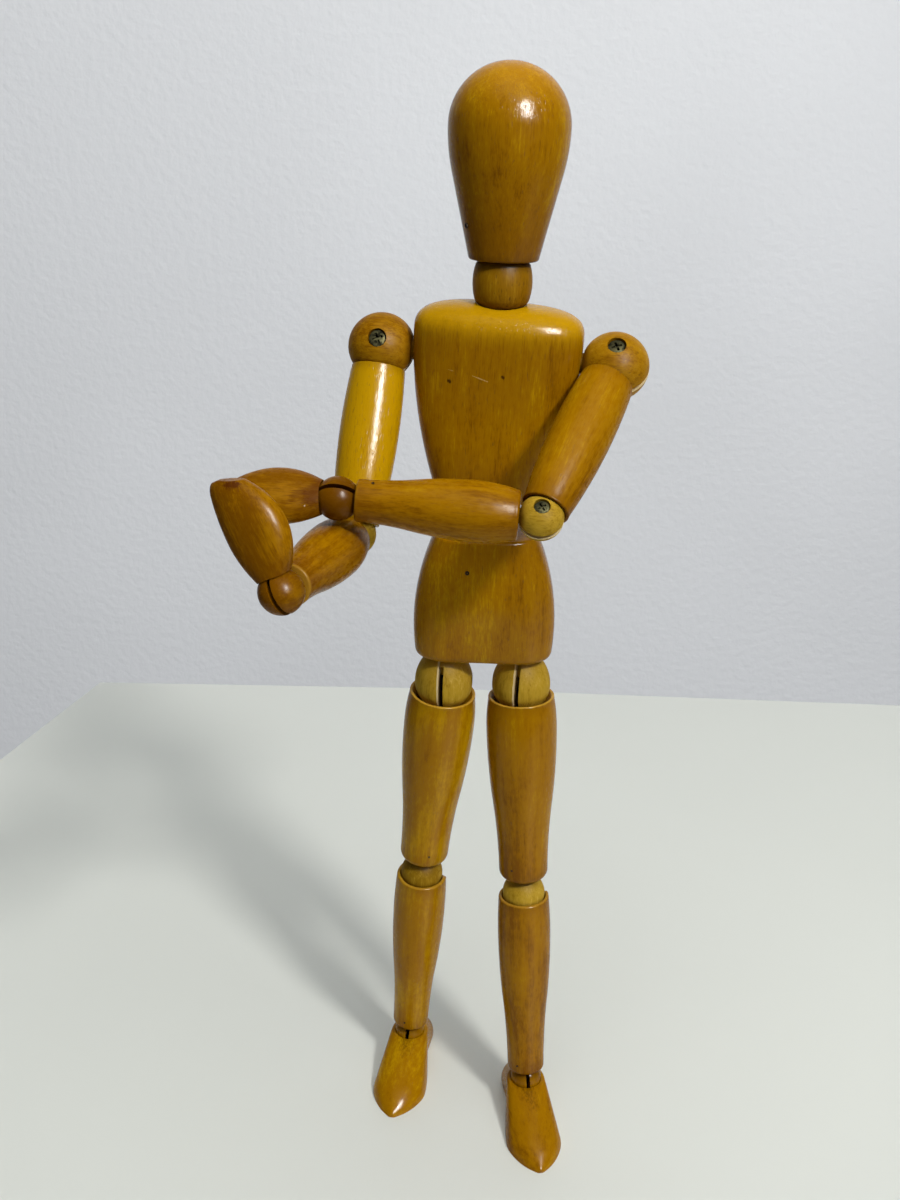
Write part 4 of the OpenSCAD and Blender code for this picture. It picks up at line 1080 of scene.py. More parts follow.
def cup_points(centre_z: float, radius: float, rim_r: float, upward: int, count: int) -> list[Point2]:
    """Profile of a round cup from the axis out to a rim radius.

    Args:
        centre_z: Height of the ball's centre.
        radius: Radius of the cup.
        rim_r: Radius at which the cup ends.
        upward: 1 for a cup that opens upwards, -1 for one that opens downwards.
        count: Count of points.

    Returns:
        The points from the axis to the rim.
    """
    reach = math.degrees(math.asin(min(1.0, rim_r / radius)))
    points = []
    for i in range(count):
        angle = math.radians(reach * i / (count - 1))
        points.append((radius * math.sin(angle), centre_z - upward * radius * math.cos(angle)))
    return points


def soften(points: Sequence[Point2], corner: int, size: float, count: int = 5) -> list[Point2]:
    """Round one corner of a profile.

    Args:
        points: Points of the profile.
        corner: Index of the corner.
        size: Distance along each side at which the rounding starts.
        count: Count of new points.

    Returns:
        The profile with the corner rounded.
    """
    middle = Vector(points[corner])
    before = list(points[:corner])
    after = list(points[corner + 1:])
    while len(before) > 1 and (Vector(before[-1]) - middle).length < size:
        before.pop()
    while len(after) > 1 and (Vector(after[0]) - middle).length < size:
        after.pop(0)
    start = middle + (Vector(before[-1]) - middle).normalized() * size
    end = middle + (Vector(after[0]) - middle).normalized() * size
    bow = []
    for i in range(count + 1):
        t = i / count
        point = start * (1 - t) ** 2 + middle * (2 * t * (1 - t)) + end * t ** 2
        bow.append((point.x, point.y))
    return before + bow + after


# Sub-assemblies


@dataclass
class Fits:
    """Clearances and screw sizes that the joints share, in millimetres."""

    cup_gap: float = 0.3
    face_gap: float = 0.2
    running_gap: float = 0.06
    web_margin: float = 0.4
    eye_margin: float = 0.35
    head_t: float = 1.1
    head_sink: float = 0.7
    recess_gap: float = 0.26
    recess_lead: float = 0.16
    brad_r: float = 0.45
    brad_sink: float = 0.34
    groove_depth: float = 0.5

    def brad_side(self, peg_r: float) -> float:
        """Distance of a brad from the axis of the peg that it holds."""
        return peg_r - self.groove_depth + self.brad_r + self.running_gap


# Darker ends of limbs; on the head, the chest and the pelvis this tone is painted shade
DARK_ENDS_AND_PAINTED_SHADE = srgb(104, 60, 0)
# Pale rims: bare wood on the thigh, a painted highlight on the shin, the forearm and the pelvis base
PALE_EDGE_AND_PAINTED_HIGHLIGHT = srgb(212, 168, 60)
END_BROWN = srgb(70, 38, 0)
SLOT_LIP = srgb(232, 214, 168)
BALL_RIM = srgb(120, 84, 36)

# How much paler than the rest single pieces are, or darker where negative: partly the wood's own tone,
# partly painted light and shade that evens out how brightly each piece is lit
PIECE_TONE_AND_PAINTED_LIGHT = {
    "right_shoulder_ball": -0.22,
    "right_upper_arm": 0.45, "left_upper_arm": -0.06,
    "right_forearm": -0.16, "left_forearm": -0.18,
    "right_wrist_ball": -0.3, "left_wrist_ball": -0.34,
    "right_hand": -0.2, "left_hand": -0.22,
    "right_thigh": 0.12, "left_thigh": -0.1,
    "right_knee_ball": -0.3,
    "right_shin": 0.1, "left_shin": -0.18,
    "right_foot": 0.12, "left_foot": -0.1,
}


@dataclass
class Workshop:
    """What every sub-assembly needs: lengths, frames, tools, fits and shared finishes."""

    skeleton: Skeleton
    frames: dict[str, Matrix]
    lathe: Lathe
    screws: ScrewSetter
    fits: Fits
    screw_metal: bpy.types.Material
    steel: bpy.types.Material
    brad_steel: bpy.types.Material
    seeds: int = 0

    def wood(self, name: str, tone: WoodTone, place: Matrix, **more: object) -> bpy.types.Material:
        """Wood for one piece, with a grain of its own.

        Args:
            name: Name of the piece.
            tone: Colours and gloss.
            place: Frame of the piece.
            more: Further fields of Wood.

        Returns:
            The material.
        """
        self.seeds += 1
        # Paler or darker piece: partly its own tone, partly painted light and shade
        lift = PIECE_TONE_AND_PAINTED_LIGHT.get(name, 0.0)
        return Wood(f"{name}_wood", tone, place, float(self.seeds), lift=lift, **more).material()

    def finish(
        self, piece: bpy.types.Object, place: Matrix, body: str, slot: Slot, *nodes: str,
        material: bpy.types.Material | None = None, sharp_degrees: float = SHARP_DEGREES,
    ) -> None:
        """Smooth a piece, put it in its place and let it ride on its body.

        Args:
            piece: Object in millimetres in its own frame.
            place: Frame of the piece.
            body: Body that carries it.
            slot: Material slot of the record; not used.
            nodes: Nodes of the frame that it stands for.
            material: Material, where the piece has none yet.
            sharp_degrees: Angle from which an edge stays sharp.
        """
        smooth(piece, sharp_degrees)
        if material is not None:
            paint(piece, material)
        piece.data.transform(Matrix.Scale(MM, 4) @ place)
        piece.data.update()
        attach(piece, body)
        if nodes:
            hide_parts(*nodes)
        LOG.info("%s rides on %s with %d faces", piece.name, body, len(piece.data.polygons))

    def dress(self, node: str, material: bpy.types.Material) -> None:
        """Give a node of the frame a better material.

        Args:
            node: Name of the node.
            material: Material that it gets.
        """
        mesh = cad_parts[node].data
        mesh.materials.clear()
        mesh.materials.append(material)

    def brads(
        self, name: str, places: Sequence[tuple[Vector, Vector]], body: str, node: str,
        radius: float = 0.5,
    ) -> None:
        """Dark brad heads that show as dots in the wood.

        Args:
            name: Name of the piece.
            places: Point on the skin and outward direction of each brad, in millimetres.
            body: Body that carries them.
            node: Node that they stand for.
            radius: Radius of the heads.
        """
        sizes = {
            "Radius": radius, "Height": 0.8, "Dome": -0.12, "Recess Length": 0.2, "Recess Width": 0.2,
            "Recess Depth": 0.15,
        }
        heads = [(point - way * self.fits.brad_sink, way, 0.0) for point, way in places]
        piece = self.screws.set(name, heads, sizes, self.brad_steel)
        self.finish(piece, Matrix.Identity(4), body, Slot.STEEL, node)


@dataclass(frozen=True)
class JointBall:
    """Slotted wooden ball on a peg, in its own frame: the peg along +Z, the screw along X."""

    radius: float
    flat: float
    peg_r: float
    peg_l: float
    eye_r: float
    barrel_r: float = 0.0
    head_r: float = 0.0
    front_wall: float = 0.0
    slot_stop: float = 0.0
    slot_w: float = 1.1
    screw_side: int = 1
    rim_edge: float = 0.18
    peg_chamfer: float = 0.4

    def build(self, name: str, shop: Workshop, material: bpy.types.Material) -> bpy.types.Object:
        """Turn the ball and cut its slot and its screw recess.

        Args:
            name: Name of the piece.
            shop: Shared tools and fits.
            material: Finish of the ball.

        Returns:
            The new object, in millimetres in the ball's frame.
        """
        piece = shop.lathe.turn(name, self._profile(), material, 144)
        smooth(piece)
        carve(piece, self._cutters(shop.fits))
        return piece

    def _profile(self) -> list[Point2]:
        """Profile of the ball and its peg.

        Returns:
            The points from the lower pole to the end of the peg.
        """
        points = arc_points((0, 0), self.radius, -90, 0, 40)
        points[0] = (0.0, -self.radius)
        if self.barrel_r:
            top = math.degrees(math.asin(self.flat / self.barrel_r))
            points += arc_points((self.radius - self.barrel_r, 0), self.barrel_r, 0, top, 40)[1:]
        else:
            top = math.degrees(math.asin(self.flat / self.radius))
            points += arc_points((0, 0), self.radius, 0, top, 40)[1:]
        points = soften(points + [(self.peg_r, self.flat)], len(points) - 1, self.rim_edge)
        end, chamfer = self.flat + self.peg_l, self.peg_chamfer
        return points + [(self.peg_r, end - chamfer), (self.peg_r - chamfer, end), (0.0, end)]

    def _cutters(self, fits: Fits) -> list[bpy.types.Object]:
        """Solids for the slot and the screw's recess.

        Args:
            fits: Shared clearances.

        Returns:
            The cutters.
        """
        half, far = self.slot_w / 2, self.radius + 1
        web_half, web_z = self.peg_r + fits.web_margin, self.eye_r + fits.eye_margin
        front = -self.front_wall if self.front_wall else -far
        overlap_z = web_z - 0.01
        cutters = [block("slot_low", (-half, front, -far), (half, far, web_z))]
        if not self.front_wall:
            slot_top = self.flat - self.slot_stop
            cutters.append(block("slot_front", (-half, -far, overlap_z), (half, -web_half, slot_top)))
        cutters.append(block("slot_back", (-half, web_half, overlap_z), (half, far, self.flat)))
        if self.head_r:
            seat = self.radius - fits.head_sink - fits.head_t
            recess = self.head_r + fits.recess_gap
            mouth = self.radius - fits.recess_lead
            flared = (self.radius + 0.6, recess + 0.5)
            rings = []
            for x, r in ((seat, recess), (mouth, recess), flared):
                rings.append([(self.screw_side * x, y, z) for y, z in superellipse(r, r, 2, 64)])
            cutters.append(loft("screw_recess", rings))
        for cutter in cutters:
            smooth(cutter)
        return cutters

    def lip(self, side: int) -> Lip:
        """Pale edge of the slot: the edge towards +X for 1, the other one for -1."""
        at = side * (self.slot_w / 2 + 0.12)
        return Lip(at=at, half=0.32, colour=SLOT_LIP, strength=0.8)

    def mount(
        self, body: str, shop: Workshop, place: Matrix, tone: WoodTone, rim: Band,
        lips: Sequence[Lip], spin: float,
    ) -> None:
        """Build a bare ball, finish it and set its screw.

        Args:
            body: Body of the ball, which is also the node that it stands for.
            shop: Shared tools and fits.
            place: Frame of the ball.
            tone: Wood of the ball.
            rim: Tone around its flat.
            lips: Pale edges of its slot.
            spin: Turn of the screw's cross in degrees.
        """
        material = shop.wood(body, tone, place, bands=(rim,), lips=lips)
        piece = self.build(f"turned_{body}", shop, material)
        shop.finish(piece, place, body, Slot.BARE, body)
        self._set_screw(shop, place, body, spin)

    def _set_screw(self, shop: Workshop, place: Matrix, body: str, spin: float) -> None:
        """Set the cross-head screw in its recess.

        Args:
            shop: Shared tools and fits.
            place: Frame of the ball.
            body: Body that carries it.
            spin: Turn of the cross in degrees.
        """
        fits = shop.fits
        node = body.replace("_ball", "_screw")
        middle = self.radius - fits.head_sink - fits.head_t / 2
        sizes = {
            "Radius": self.head_r, "Height": fits.head_t, "Dome": 0.16 * self.head_r,
            "Recess Length": 1.3 * self.head_r, "Recess Width": 0.3 * self.head_r,
            "Recess Depth": 0.4 * self.head_r,
        }
        way = place.to_3x3() @ Vector((self.screw_side, 0, 0))
        centre = place.to_translation() + way * middle
        heads = [(centre, way, math.radians(spin))]
        piece = shop.screws.set(f"{node}_head", heads, sizes, shop.screw_metal)
        shop.finish(piece, Matrix.Identity(4), body, Slot.SCREW, node, sharp_degrees=30)


@dataclass
class HeadAndNeck:
    """Egg-shaped head on a barrel-shaped neck."""

    shop: Workshop
    head_h: float = 45.0
    head_r: float = 14.5
    base_r: float = 8.6
    jaw_taper: float = 13.5
    jaw_start: float = 0.7
    neck_r: float = 7.3
    bulge_r: float = 14.0
    foot_r: float = 7.9
    neck_rise: float = 5.0
    peg_r: float = 2.6
    peg_l: float = 13.0
    edge: float = 0.75
    neck_edge: float = 0.3
    brad_rise: float = 8.1
    brad_turn: float = -68.0
    brad_r: float = 0.55

    def build(self) -> None:
        """Build the head, its brad and the neck."""
        self._head()
        self._neck()
        self.shop.dress("neck_hinge", self.shop.steel)

    def _head(self) -> None:
        """Turn the head and set its brad."""
        place = self.shop.frames["head"]
        foot = self.neck_rise + self.shop.fits.face_gap
        crown_z = foot + self.head_h - self.head_r
        taper = math.radians(self.jaw_taper)
        rise = crown_z - foot - self.jaw_start
        rho = (rise * math.tan(taper) - (self.head_r - self.base_r)) / (1 / math.cos(taper) - 1)
        knee_z = crown_z - rho * math.sin(taper)
        knee_r = self.head_r - rho * (1 - math.cos(taper))
        jaw_z = foot + self.edge
        profile = [(0.0, foot)]
        profile += arc_points((self.base_r - self.edge, jaw_z), self.edge, -90, -self.jaw_taper, 8)
        for t in (0.75, 0.5, 0.25):
            profile.append((knee_r + (self.base_r - knee_r) * t, knee_z + (jaw_z - knee_z) * t))
        profile += arc_points((self.head_r - rho, crown_z), rho, -self.jaw_taper, 0, 24)
        profile += arc_points((0, crown_z), self.head_r, 0, 90, 40)[1:]
        profile[-1] = (0.0, crown_z + self.head_r)
        # Painted shade darkens the lower half of the head and painted light brightens the crown; a thin
        # brown ring lies at the foot
        bands = (
            Band(foot + 1, foot + 26, DARK_ENDS_AND_PAINTED_SHADE, 0.5),
            Band(foot, foot + 2.2, END_BROWN, 0.4),
            Band(foot + 44, foot + 34, srgb(196, 140, 36), 0.35),
        )
        material = self.shop.wood("head", HONEY_LACQUER, place, bands=bands)
        piece = self.shop.lathe.turn("turned_head", profile, material, 160)
        self.shop.finish(piece, place, "head", Slot.LACQUERED, "head")
        side = self.shop.fits.brad_side(self.peg_r)
        skin_r = self.base_r + self.brad_rise * math.tan(taper)
        spin = place @ turn("Z", self.brad_turn)
        point = spin @ Vector((side, -math.sqrt(skin_r ** 2 - side ** 2), foot + self.brad_rise))
        way = spin.to_3x3() @ Vector((side / skin_r, -1, -math.tan(taper))).normalized()
        self.shop.brads("head_brad_dot", [(point, way)], "head", "head_brad", self.brad_r)

    def _neck(self) -> None:
        """Turn the neck."""
        place = self.shop.frames["neck"]
        profile, steps = [(0.0, -self.foot_r)], 60
        for i in range(1, steps + 1):
            share = math.sin(math.pi / 2 * i / steps) ** 1.2
            z = -self.foot_r + (self.neck_rise + self.foot_r) * share
            cap = math.sqrt(max(0.0, self.foot_r ** 2 - z * z))
            barrel = self.neck_r - self.bulge_r + math.sqrt(self.bulge_r ** 2 - z * z)
            profile.append((min(cap, barrel), z))
        shoulder = (self.peg_r, self.neck_rise)
        profile = soften(profile + [shoulder], len(profile) - 1, self.neck_edge)
        end = self.neck_rise + self.peg_l
        profile += [(self.peg_r, end), (0.0, end)]
        bands = (
            Band(self.neck_rise, self.neck_rise - 3, END_BROWN, 0.45),
            Band(-6.5, -2.0, END_BROWN, 0.4),
        )
        material = self.shop.wood("neck", NECK_STAIN, place, bands=bands)
        piece = self.shop.lathe.turn("turned_neck", profile, material)
        self.shop.finish(piece, place, "neck", Slot.NECK, "neck")


def rounded_share(t: float, power: float) -> float:
    """Share of the full width that is left at t, from 0 to 1, of a rounded end."""
    return max(0.0, 1 - t ** power) ** (1 / power)


def skin_depth(half_w: float, half_d: float, power: float, x: float) -> float:
    """Half depth of a superellipse at a distance from its middle."""
    return half_d * (1 - (abs(x) / half_w) ** power) ** (1 / power)


@dataclass
class Trunk:
    """Carved chest and pelvis with the waist ball between them."""

    shop: Workshop
    chest_foot: float = 4.5
    chest_top_drop: float = 5.0
    chest_half_w: float = 21.0
    chest_foot_half_w: float = 13.4
    chest_half_d: float = 10.4
    chest_foot_half_d: float = 9.0
    chest_power: float = 2.6
    crown_h: float = 7.6
    crown_top: Point2 = (4.0, 3.0)
    crown_powers: Point2 = (3.1, 2.6)
    chest_brad_x: float = 15.3
    chest_brad_splay: float = 0.12
    shoulder_peg_r: float = 2.6
    pelvis_base: float = 9.2
    pelvis_half_w: float = 18.9
    pelvis_top_half_w: float = 13.3
    pelvis_half_d: float = 9.8
    pelvis_top_half_d: float = 8.4
    pelvis_base_half_w: float = 18.3
    pelvis_base_half_d: float = 9.1
    pelvis_wide_rise: float = 9.5
    pelvis_power: float = 2.8
    pelvis_edge: float = 2.0
    facet_d: float = 8.2
    facet_slope: float = 0.094
    facet_soft: float = 0.5
    hip_peg_r: float = 2.6
    hip_brad_z: float = 15.5
    pelvis_brad_r: float = 0.55
    neck_foot_r: float = 7.9
    edge: float = 0.8
    points: int = 160
    waist: JointBall = JointBall(radius=7.4, flat=5.6, peg_r=4.4, peg_l=17.0, eye_r=3.0)

    @property
    def chest_crown(self) -> float:
        """Height of the top of the chest."""
        return self.shop.skeleton.torso_h - self.chest_top_drop

    @property
    def pelvis_crown(self) -> float:
        """Height of the top of the pelvis, a gap below the flat of the waist ball."""
        return self.shop.skeleton.waist_rise - self.waist.flat - self.shop.fits.face_gap

    def build(self) -> None:
        """Build the chest, the pelvis and the waist ball."""
        self._chest()
        self._pelvis()
        shop = self.shop
        place = shop.frames["waist"] @ turn("X", 180)
        material = shop.wood("waist_ball", BARE_BALL, place)
        piece = self.waist.build("turned_waist_ball", shop, material)
        shop.finish(piece, place, "waist_ball", Slot.BARE, "waist_ball")
        shop.dress("waist_hinge", shop.steel)

    def _chest_ring(self, z: float, inset: float = 0.0) -> list[Point3]:
        """One slice of the chest.

        Args:
            z: Height of the slice.
            inset: Distance that its outline is drawn in.

        Returns:
            The points of the slice.
        """
        wide_at = self.chest_crown - self.crown_h
        if z < wide_at:
            taper = ((wide_at - z) / (wide_at - self.chest_foot)) ** 2
            half_w = self.chest_half_w - (self.chest_half_w - self.chest_foot_half_w) * taper
            half_d = self.chest_half_d - (self.chest_half_d - self.chest_foot_half_d) * taper
        else:
            t = min(1.0, (z - wide_at) / self.crown_h)
            half_w = max(self.crown_top[0], self.chest_half_w * rounded_share(t, self.crown_powers[0]))
            half_d = max(self.crown_top[1], self.chest_half_d * rounded_share(t, self.crown_powers[1]))
        outline = superellipse(half_w - inset, half_d - inset, self.chest_power, self.points)
        return [(x, y, z) for x, y in outline]

    def _chest(self) -> None:
        """Carve the chest and its two cups."""
        shop, place = self.shop, self.shop.frames["chest"]
        rings = []
        for i in reversed(range(7)):
            angle = math.pi / 2 * i / 6
            rise, inset = self.edge * (1 - math.sin(angle)), self.edge * (1 - math.cos(angle))
            rings.append(self._chest_ring(self.chest_foot + rise, inset))
        start = self.chest_foot + self.edge
        for i in range(1, 81):
            share = math.sin(math.pi / 2 * i / 80)
            rings.append(self._chest_ring(start + (self.chest_crown - start) * share))
        piece = loft("carved_chest", rings)
        smooth(piece)
        gap = shop.fits.cup_gap
        carve(piece, [
            ball("waist_cup", self.waist.radius + gap),
            ball("neck_cup", self.neck_foot_r + gap, (0, 0, shop.skeleton.torso_h)),
        ])
        scratch, worn = srgb(226, 190, 116), srgb(48, 22, 0)
        stains = (
            Stain((-4.7, -10.3, 37.3), (-1.0, -10.4, 36.2), 0.2, scratch, 0.45, 1.2),
            Stain((-12.6, -9.5, 38.4), (-9.6, -9.8, 38.0), 0.18, scratch, 0.3, 1.2),
            Stain((-10.6, -9.7, 35.4), (-10.3, -9.7, 35.2), 0.65, worn, 0.9, 0.5),
            Stain((2.5, -10.4, 37.7), (2.7, -10.4, 37.5), 0.5, worn, 0.85, 0.5),
            Stain((8.0, -10.3, 17.0), (9.3, -10.2, 20.5), 0.3, scratch, 0.4, 0.9),
        )
        # Painted shade darkens the lower chest and painted light brightens its top
        bands = (Band(6.0, 22.0, DARK_ENDS_AND_PAINTED_SHADE, 0.4), Band(51.0, 43.0, srgb(204, 158, 8), 0.55))
        material = shop.wood("chest", HONEY_LACQUER, place, bands=bands, stains=stains)
        shop.finish(piece, place, "chest", Slot.LACQUERED, "chest", material=material)
        shop.brads("chest_brad_dots", self._chest_brad_places(place), "chest", "chest_brads")

    def _chest_brad_places(self, place: Matrix) -> list[tuple[Vector, Vector]]:
        """Places of the two brads in the back of the chest.

        Args:
            place: Frame of the chest.

        Returns:
            Point on the skin and outward direction of each.
        """
        places = []
        bones = self.shop.skeleton
        off_peg = self.shop.fits.brad_side(self.shoulder_peg_r)
        for side in Side:
            x = side.value * self.chest_brad_x
            z = bones.torso_h - bones.shoulder_drop + side.value * off_peg
            skin = skin_depth(self.chest_half_w, self.chest_half_d, self.chest_power, x)
            way = Vector((self.chest_brad_splay * side.value, 1, 0)).normalized()
            places.append((place @ Vector((x, skin, z)), place.to_3x3() @ way))
        return places

    def _pelvis_half(self, z: float) -> Point2:
        """Half width and half depth of the pelvis.

        Args:
            z: Height in the pelvis's frame.

        Returns:
            Half width and half depth there.
        """
        wide_at = self.pelvis_base + self.pelvis_wide_rise
        if z > wide_at:
            taper = ((z - wide_at) / (self.pelvis_crown - wide_at)) ** 2
            end_w, end_d = self.pelvis_top_half_w, self.pelvis_top_half_d
        else:
            taper = ((wide_at - z) / self.pelvis_wide_rise) ** 2
            end_w, end_d = self.pelvis_base_half_w, self.pelvis_base_half_d
        half_w = self.pelvis_half_w - (self.pelvis_half_w - end_w) * taper
        half_d = self.pelvis_half_d - (self.pelvis_half_d - end_d) * taper
        return half_w, half_d

    def _pelvis_ring(self, z: float, inset: float = 0.0) -> list[Point3]:
        """One slice of the pelvis, with the shallow facet of its lower front.

        Args:
            z: Height of the slice.
            inset: Distance that its outline is drawn in.

        Returns:
            The points of the slice.
        """
        half_w, half_d = self._pelvis_half(z)
        facet = self.facet_d + self.facet_slope * (z - self.pelvis_base) - inset
        soft = self.facet_soft
        ring = []
        for x, y in superellipse(half_w - inset, half_d - inset, self.pelvis_power, self.points):
            if y < 0:
                share = min(1.0, max(0.0, 0.5 + 0.5 * (facet + y) / soft))
                y = -(facet * (1 - share) - y * share - soft * share * (1 - share))
            ring.append((x, y, z))
        return ring

    def _pelvis(self) -> None:
        """Carve the pelvis."""
        shop, place = self.shop, self.shop.frames["pelvis"]
        base, edge = self.pelvis_base, self.pelvis_edge
        rings = []
        for i in range(7):
            angle = math.pi / 2 * i / 6
            rise, inset = edge * (1 - math.cos(angle)), edge * (1 - math.sin(angle))
            rings.append(self._pelvis_ring(base + rise, inset))
        top = self.pelvis_crown - self.edge
        for i in range(1, 80):
            rings.append(self._pelvis_ring(base + edge + (top - base - edge) * i / 80))
        for i in range(7):
            angle = math.pi / 2 * i / 6
            rise, inset = self.edge * math.sin(angle), self.edge * (1 - math.cos(angle))
            rings.append(self._pelvis_ring(top + rise, inset))
        piece = loft("carved_pelvis", rings)
        # Painted shade darkens the pelvis towards its base and under the chest, and a painted highlight
        # runs along the base edge
        bands = (
            Band(10.0, 14.0, DARK_ENDS_AND_PAINTED_SHADE, 0.25), Band(9.3, 9.8, PALE_EDGE_AND_PAINTED_HIGHLIGHT, 0.5),
            Band(44.0, 34.0, DARK_ENDS_AND_PAINTED_SHADE, 0.25),
        )
        material = shop.wood("pelvis", HONEY_LACQUER, place, bands=bands)
        shop.finish(piece, place, "pelvis", Slot.LACQUERED, "pelvis", material=material)
        self._pelvis_brads(place)

    def _pelvis_brads(self, place: Matrix) -> None:
        """Set the brads of the waist peg and the hip pegs.

        Args:
            place: Frame of the pelvis.
        """
        fits, bones = self.shop.fits, self.shop.skeleton
        places = []
        waist_z = bones.waist_rise - self.waist.flat - self.waist.peg_l / 2
        spots = [(-fits.brad_side(self.waist.peg_r), -1, waist_z)]
        hip_x = bones.hip_reach - fits.brad_side(self.hip_peg_r)
        for side in Side:
            spots.append((side.value * hip_x, 1, self.hip_brad_z))
        for x, face, z in spots:
            half_w, half_d = self._pelvis_half(z)
            skin = skin_depth(half_w, half_d, self.pelvis_power, x)
            places.append((place @ Vector((x, face * skin, z)), place.to_3x3() @ Vector((0, face, 0))))
        self.shop.brads("pelvis_brad_dots", places, "pelvis", "pelvis_brads", self.pelvis_brad_r)


def basis(x_way: Point3, z_way: Point3) -> Matrix:
    """Turn that takes X to one direction and Z to another at right angles to it."""
    x, z = Vector(x_way), Vector(z_way)
    return Matrix((x, z.cross(x), z)).transposed().to_4x4()


@dataclass(frozen=True)
class LimbEnd:
    """What is cut into one end of a turned limb: a bore, a cup, and the rounding of its rim."""

    bore_r: float
    bore_z: float
    cup_z: float = 0.0
    cup_r: float = 0.0
    flare_r: float = 0.0
    inner_edge: float = 0.25
    outer_edge: float = 0.7
    least_wall: float = 0.05
    feather: float = 0.02

    def inside(self, shape: LimbShape, upward: int) -> list[Point2]:
        """Profile from the axis to the outer corner of the rim.

        Args:
            shape: Outline of the limb.
            upward: 1 for the top end, -1 for the low end.

        Returns:
            The points from the axis outwards, with the inner corner rounded.
        """
        end_z = shape.top_z if upward > 0 else shape.low_z
        points = [(0.0, self.bore_z), (self.bore_r, self.bore_z)]
        if not self.cup_r:
            return points + [(self.bore_r, end_z), (shape.radius(end_z), end_z)]
        rim_z = self._rim_z(shape, end_z, upward)
        rim_r = math.sqrt(self.cup_r ** 2 - (rim_z - self.cup_z) ** 2)
        if self.flare_r:
            rim_r = self.cup_r * math.sqrt(0.5)
        cup = cup_points(self.cup_z, self.cup_r, rim_r, upward, 28)
        points += [point for point in cup if point[0] > self.bore_r]
        if self.flare_r:
            points.append((self.flare_r, end_z))
        outer = shape.radius(rim_z)
        wall = outer - points[-1][0]
        if wall < self.least_wall:
            return points
        points.append((outer, rim_z))
        return soften(points, len(points) - 2, min(self.inner_edge, 0.45 * wall))

    def _rim_z(self, shape: LimbShape, end_z: float, upward: int) -> float:
        """Height of the rim, which drops where the cup is as wide as the limb.

        Args:
            shape: Outline of the limb.
            end_z: Height of the limb's end.
            upward: 1 for the top end, -1 for the low end.

        Returns:
            The height of the rim.
        """
        def wall(z: float) -> float:
            """Thickness that the cup leaves."""
            return shape.radius(z) - math.sqrt(max(0.0, self.cup_r ** 2 - (z - self.cup_z) ** 2))

        if self.flare_r or wall(end_z) > self.least_wall:
            return end_z
        near, far = end_z, self.cup_z - upward * self.cup_r
        for _ in range(40):
            middle = (near + far) / 2
            if wall(middle) > self.feather:
                far = middle
            else:
                near = middle
        return far


def limb_profile(shape: LimbShape, top: LimbEnd, low: LimbEnd, steps: int = 72) -> list[Point2]:
    """Profile of a turned limb with both its ends cut.

    Args:
        shape: Outline of the limb.
        top: Top end.
        low: Low end.
        steps: Count of steps along the side.

    Returns:
        The points from the axis at the top to the axis at the low end.
    """
    head = top.inside(shape, 1)
    foot = low.inside(shape, -1)[::-1]
    high_z, low_z = head[-1][1], foot[0][1]
    sides = []
    for i in range(1, steps):
        z = high_z + (low_z - high_z) * i / steps
        sides.append((shape.radius(z), z))
    points = head + sides + foot
    points = soften(points, len(head) + len(sides), low.outer_edge, 7)
    return soften(points, len(head) - 1, top.outer_edge, 7)


